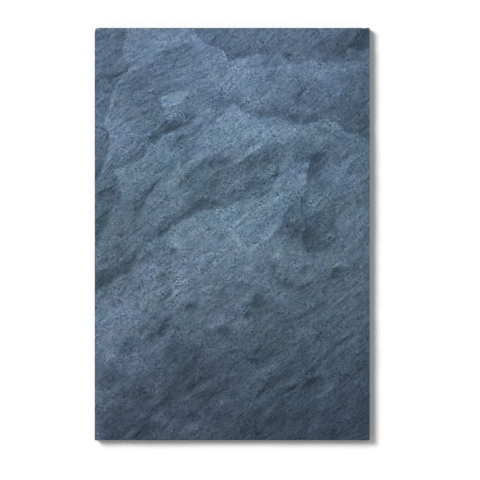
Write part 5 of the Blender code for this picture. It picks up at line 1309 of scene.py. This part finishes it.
# ---------------------------------------------------------------- materials
class Nodes:
    """Short ways to add the nodes of one material."""

    def __init__(self, name):
        self.material = bpy.data.materials.new(name)
        self.material.use_nodes = True
        self.tree = self.material.node_tree
        self.shader = self.tree.nodes["Principled BSDF"]
        place = self.add("ShaderNodeTexCoord").outputs["Object"]
        self.place = self.scaled(place, 1 / MM)

    def add(self, kind, **settings):
        node = self.tree.nodes.new(kind)
        for name, value in settings.items():
            setattr(node, name, value)
        return node

    def link(self, source, target):
        self.tree.links.new(source, target)

    def put(self, socket, value):
        """A link or a plain number on an input."""
        if isinstance(value, bpy.types.NodeSocket):
            self.link(value, socket)
        else:
            socket.default_value = value

    def math(self, operation, a, b=0.0, c=0.0):
        node = self.add("ShaderNodeMath", operation=operation)
        for socket, value in zip(node.inputs, (a, b, c)):
            self.put(socket, value)
        return node.outputs[0]

    def total(self, start, *pairs):
        """A number, and what (link, factor) pairs add to it."""
        result = start
        for link, factor in pairs:
            result = self.math("MULTIPLY_ADD", link, factor, result)
        return result

    def scaled(self, vector, factor):
        node = self.add("ShaderNodeVectorMath", operation="SCALE")
        self.link(vector, node.inputs[0])
        self.put(node.inputs["Scale"], factor)
        return node.outputs["Vector"]

    def attribute(self, name):
        """One of the values that the mesh keeps for each of its points."""
        return self.add("ShaderNodeAttribute", attribute_name=name).outputs["Fac"]

    def texture(self, place, detail):
        """Noise of wavelength 1, about -0.5 to 0.5."""
        texture = self.add("ShaderNodeTexNoise")
        self.link(place, texture.inputs["Vector"])
        texture.inputs["Scale"].default_value = 1.0
        texture.inputs["Detail"].default_value = detail
        return self.math("SUBTRACT", texture.outputs["Fac"], 0.5)

    def noise(self, size, detail=1.0, angle=0.0, shift=0.0):
        """Noise with these wavelengths in mm along turned axes."""
        mapping = self.add("ShaderNodeMapping", vector_type="TEXTURE")
        self.link(self.place, mapping.inputs["Vector"])
        mapping.inputs["Location"].default_value = (shift, shift, 0)
        mapping.inputs["Rotation"].default_value = (0, 0, np.radians(angle))
        mapping.inputs["Scale"].default_value = size
        return self.texture(mapping.outputs["Vector"], detail)

    def fibres(self, long, wide, shift):
        """Noise drawn out along the fibres of the face."""
        parts = self.add("ShaderNodeCombineXYZ")
        for axis, name, size in (("X", "along", long), ("Y", "across", wide)):
            place = self.math("MULTIPLY_ADD", self.attribute(name), 1 / size, shift)
            self.link(place, parts.inputs[axis])
        return self.texture(parts.outputs["Vector"], 1.0)

    def lines(self, noise, sharpness):
        """0 on the thin lines where a noise is 0, and 1 off them."""
        gap = self.math("MULTIPLY", self.math("ABSOLUTE", noise), sharpness)
        return self.math("MINIMUM", gap, 1.0)

    def stone(self, grey, red, blue, tone, fine):
        """Stone of this brightness, with redness, blueness and tone in stops. What is light in
        the fine tone is greyer, a painted sheen, and what is dark in it is bluer."""
        parts = self.add("ShaderNodeCombineXYZ")
        red = self.total(red, (fine, FINE_RED))
        blue = self.total(blue, (fine, FINE_BLUE))
        self.link(self.math("POWER", 2.0, red), parts.inputs["X"])
        parts.inputs["Y"].default_value = 1.0
        self.link(self.math("POWER", 2.0, blue), parts.inputs["Z"])
        light = self.math("POWER", 2.0, self.math("ADD", tone, fine))
        colour = self.scaled(parts.outputs["Vector"], self.math("MULTIPLY", light, grey))
        self.link(colour, self.shader.inputs["Base Color"])

    def finish(self, roughness, relief, specular):
        """The material, with relief in millimetres."""
        self.put(self.shader.inputs["Roughness"], roughness)
        self.shader.inputs["Specular IOR Level"].default_value = specular
        bump = self.add("ShaderNodeBump")
        bump.inputs["Strength"].default_value = 1.0
        bump.inputs["Distance"].default_value = MM
        self.link(relief, bump.inputs["Height"])
        self.link(bump.outputs["Normal"], self.shader.inputs["Normal"])
        return self.material


def riven_slate():
    """Split stone: grit, specks and short cracks, and in places long fibres and seams."""
    nodes = Nodes("slate_riven")
    grit = nodes.noise((1.9, 1.9, 1.9))
    speck = nodes.noise((3.6, 3.6, 3.6), shift=40)
    lump = nodes.noise((6.5, 5.5, 6.0), shift=80)
    crack = nodes.lines(nodes.noise((7.5, 6.5, 7.0), detail=1.5, shift=120), sharpness=16.0)
    fibre = nodes.fibres(long=20.0, wide=2.6, shift=5)
    streak = nodes.fibres(long=44.0, wide=5.0, shift=70)
    seam = nodes.lines(nodes.fibres(long=46.0, wide=9.0, shift=35), sharpness=14.0)
    grains = nodes.total(-0.2, (grit, 2.4), (speck, 1.4), (lump, 0.5), (crack, 0.27))
    lines = nodes.total(-0.2, (fibre, 1.5), (streak, 1.5), (seam, 0.3))
    fine = nodes.math("MULTIPLY", grains, nodes.attribute("grit"))
    fine = nodes.math("MULTIPLY_ADD", lines, nodes.attribute("streaks"), fine)
    fine = nodes.total(fine, (nodes.math("MULTIPLY", fine, fine), FINE_BEND))
    nodes.stone(RIVEN_GREY, nodes.attribute("red"), nodes.attribute("blue"),
                nodes.attribute("tone"), fine)
    roughness = nodes.total(0.62, (speck, 0.25), (streak, 0.2))
    relief = nodes.total(0.0, (grit, 0.5), (fibre, 0.5), (speck, 0.5))
    return nodes.finish(roughness, relief, specular=0.22)


def sawn_slate():
    """The sawn sides: the edges of the thin beds, crossed by upright saw marks."""
    nodes = Nodes("slate_sawn")
    beds = nodes.noise((220, 220, 2.2), detail=2.0)
    thin = nodes.noise((90, 90, 0.7), shift=30)
    saw = nodes.noise((1.6, 1.6, 45), shift=60)
    grit = nodes.noise((1.2, 1.2, 0.8))
    red = nodes.total(RED + 0.15, (beds, 0.3))
    blue = nodes.total(BLUE - 0.12, (beds, -0.2))
    tone = nodes.total(0.0, (beds, 1.6), (thin, 1.1))
    fine = nodes.total(0.0, (saw, 0.35), (grit, 0.5))
    nodes.stone(SAWN_GREY, red, blue, tone, fine)
    roughness = nodes.total(0.7, (thin, 0.2))
    relief = nodes.total(0.0, (thin, 0.25), (saw, 0.12), (grit, 0.15))
    return nodes.finish(roughness, relief, specular=0.35)


def ground_slate():
    """The ground back: crossed grinding marks, and darker rough stone in the low spots."""
    nodes = Nodes("slate_ground")
    height = nodes.add("ShaderNodeSeparateXYZ")
    nodes.link(nodes.place, height.inputs[0])
    low = nodes.math("MULTIPLY", height.outputs["Z"], 2.2)
    low = nodes.math("MINIMUM", nodes.math("MAXIMUM", low, 0.0), 1.0)
    marks = nodes.noise((120, 0.9, 1), angle=62)
    crossed = nodes.noise((90, 1.1, 1), angle=-35, shift=50)
    cloud = nodes.noise((60, 45, 60), detail=3.0, shift=20)
    grit = nodes.noise((1.4, 1.4, 1.4))
    red = nodes.total(RED + 0.12, (low, -0.1))
    blue = nodes.total(BLUE - 0.1, (low, 0.08))
    tone = nodes.total(0.0, (cloud, 0.7), (low, -0.7))
    fine = nodes.total(0.0, (marks, 0.35), (crossed, 0.25), (grit, 0.5))
    nodes.stone(GROUND_GREY, red, blue, tone, fine)
    roughness = nodes.total(0.58, (low, 0.15), (cloud, 0.15))
    relief = nodes.total(0.0, (marks, 0.06), (crossed, 0.05), (grit, 0.08))
    return nodes.finish(roughness, relief, specular=0.4)


# ---------------------------------------------------------------- floor, light and camera
def make_floor():
    """A pale, dull floor that reaches past the picture."""
    half = FLOOR_HALF
    mesh = bpy.data.meshes.new("floor")
    mesh.from_pydata([(-half, -half, 0), (half, -half, 0), (half, half, 0), (-half, half, 0)],
                     [], [(0, 1, 2, 3)])
    material = bpy.data.materials.new("pale_floor")
    material.use_nodes = True
    shader = material.node_tree.nodes["Principled BSDF"]
    shader.inputs["Base Color"].default_value = FLOOR_COLOUR
    shader.inputs["Roughness"].default_value = 0.9
    shader.inputs["Specular IOR Level"].default_value = 0.2
    mesh.materials.append(material)
    floor = bpy.data.objects.new("floor", mesh)
    bpy.context.scene.collection.objects.link(floor)
    return floor


def make_light():
    """A soft lamp from the upper left, and a white sky."""
    lamp = bpy.data.lights.new("softbox", "SUN")
    lamp.energy = LIGHT_STRENGTH
    lamp.angle = np.radians(LIGHT_ANGLE)
    holder = bpy.data.objects.new("softbox", lamp)
    elevation = np.radians(LIGHT_ELEVATION)
    flat = np.array(LIGHT_FROM) / np.linalg.norm(LIGHT_FROM) * np.cos(elevation)
    direction = Vector((flat[0], flat[1], np.sin(elevation)))
    holder.rotation_mode = "QUATERNION"
    holder.rotation_quaternion = direction.to_track_quat("Z", "Y")
    bpy.context.scene.collection.objects.link(holder)
    world = bpy.data.worlds.new("studio")
    world.use_nodes = True
    background = world.node_tree.nodes["Background"]
    background.inputs["Color"].default_value = (1, 1, 1, 1)
    background.inputs["Strength"].default_value = SKY_STRENGTH
    bpy.context.scene.world = world


def make_camera():
    """A long lens straight above the slab."""
    data = bpy.data.cameras.new("camera")
    data.lens = CAMERA_LENS
    data.sensor_width = CAMERA_SENSOR
    data.clip_end = CAMERA_REACH
    camera = bpy.data.objects.new("camera", data)
    distance = FRAME_WIDTH * CAMERA_LENS / CAMERA_SENSOR
    camera.location = (*CAMERA_PLACE, MEAN_LEVEL * MM + distance)
    bpy.context.scene.collection.objects.link(camera)
    bpy.context.scene.camera = camera


def main():
    """The dressed slab on its floor in place of the CAD's slab, with a lamp, a sky and a camera."""
    bpy.context.scene.view_settings.view_transform = "Standard"
    slab = make_slab([riven_slate(), sawn_slate(), ground_slate()])
    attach(slab, "root")
    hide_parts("slab")
    make_floor()
    make_light()
    make_camera()


main()
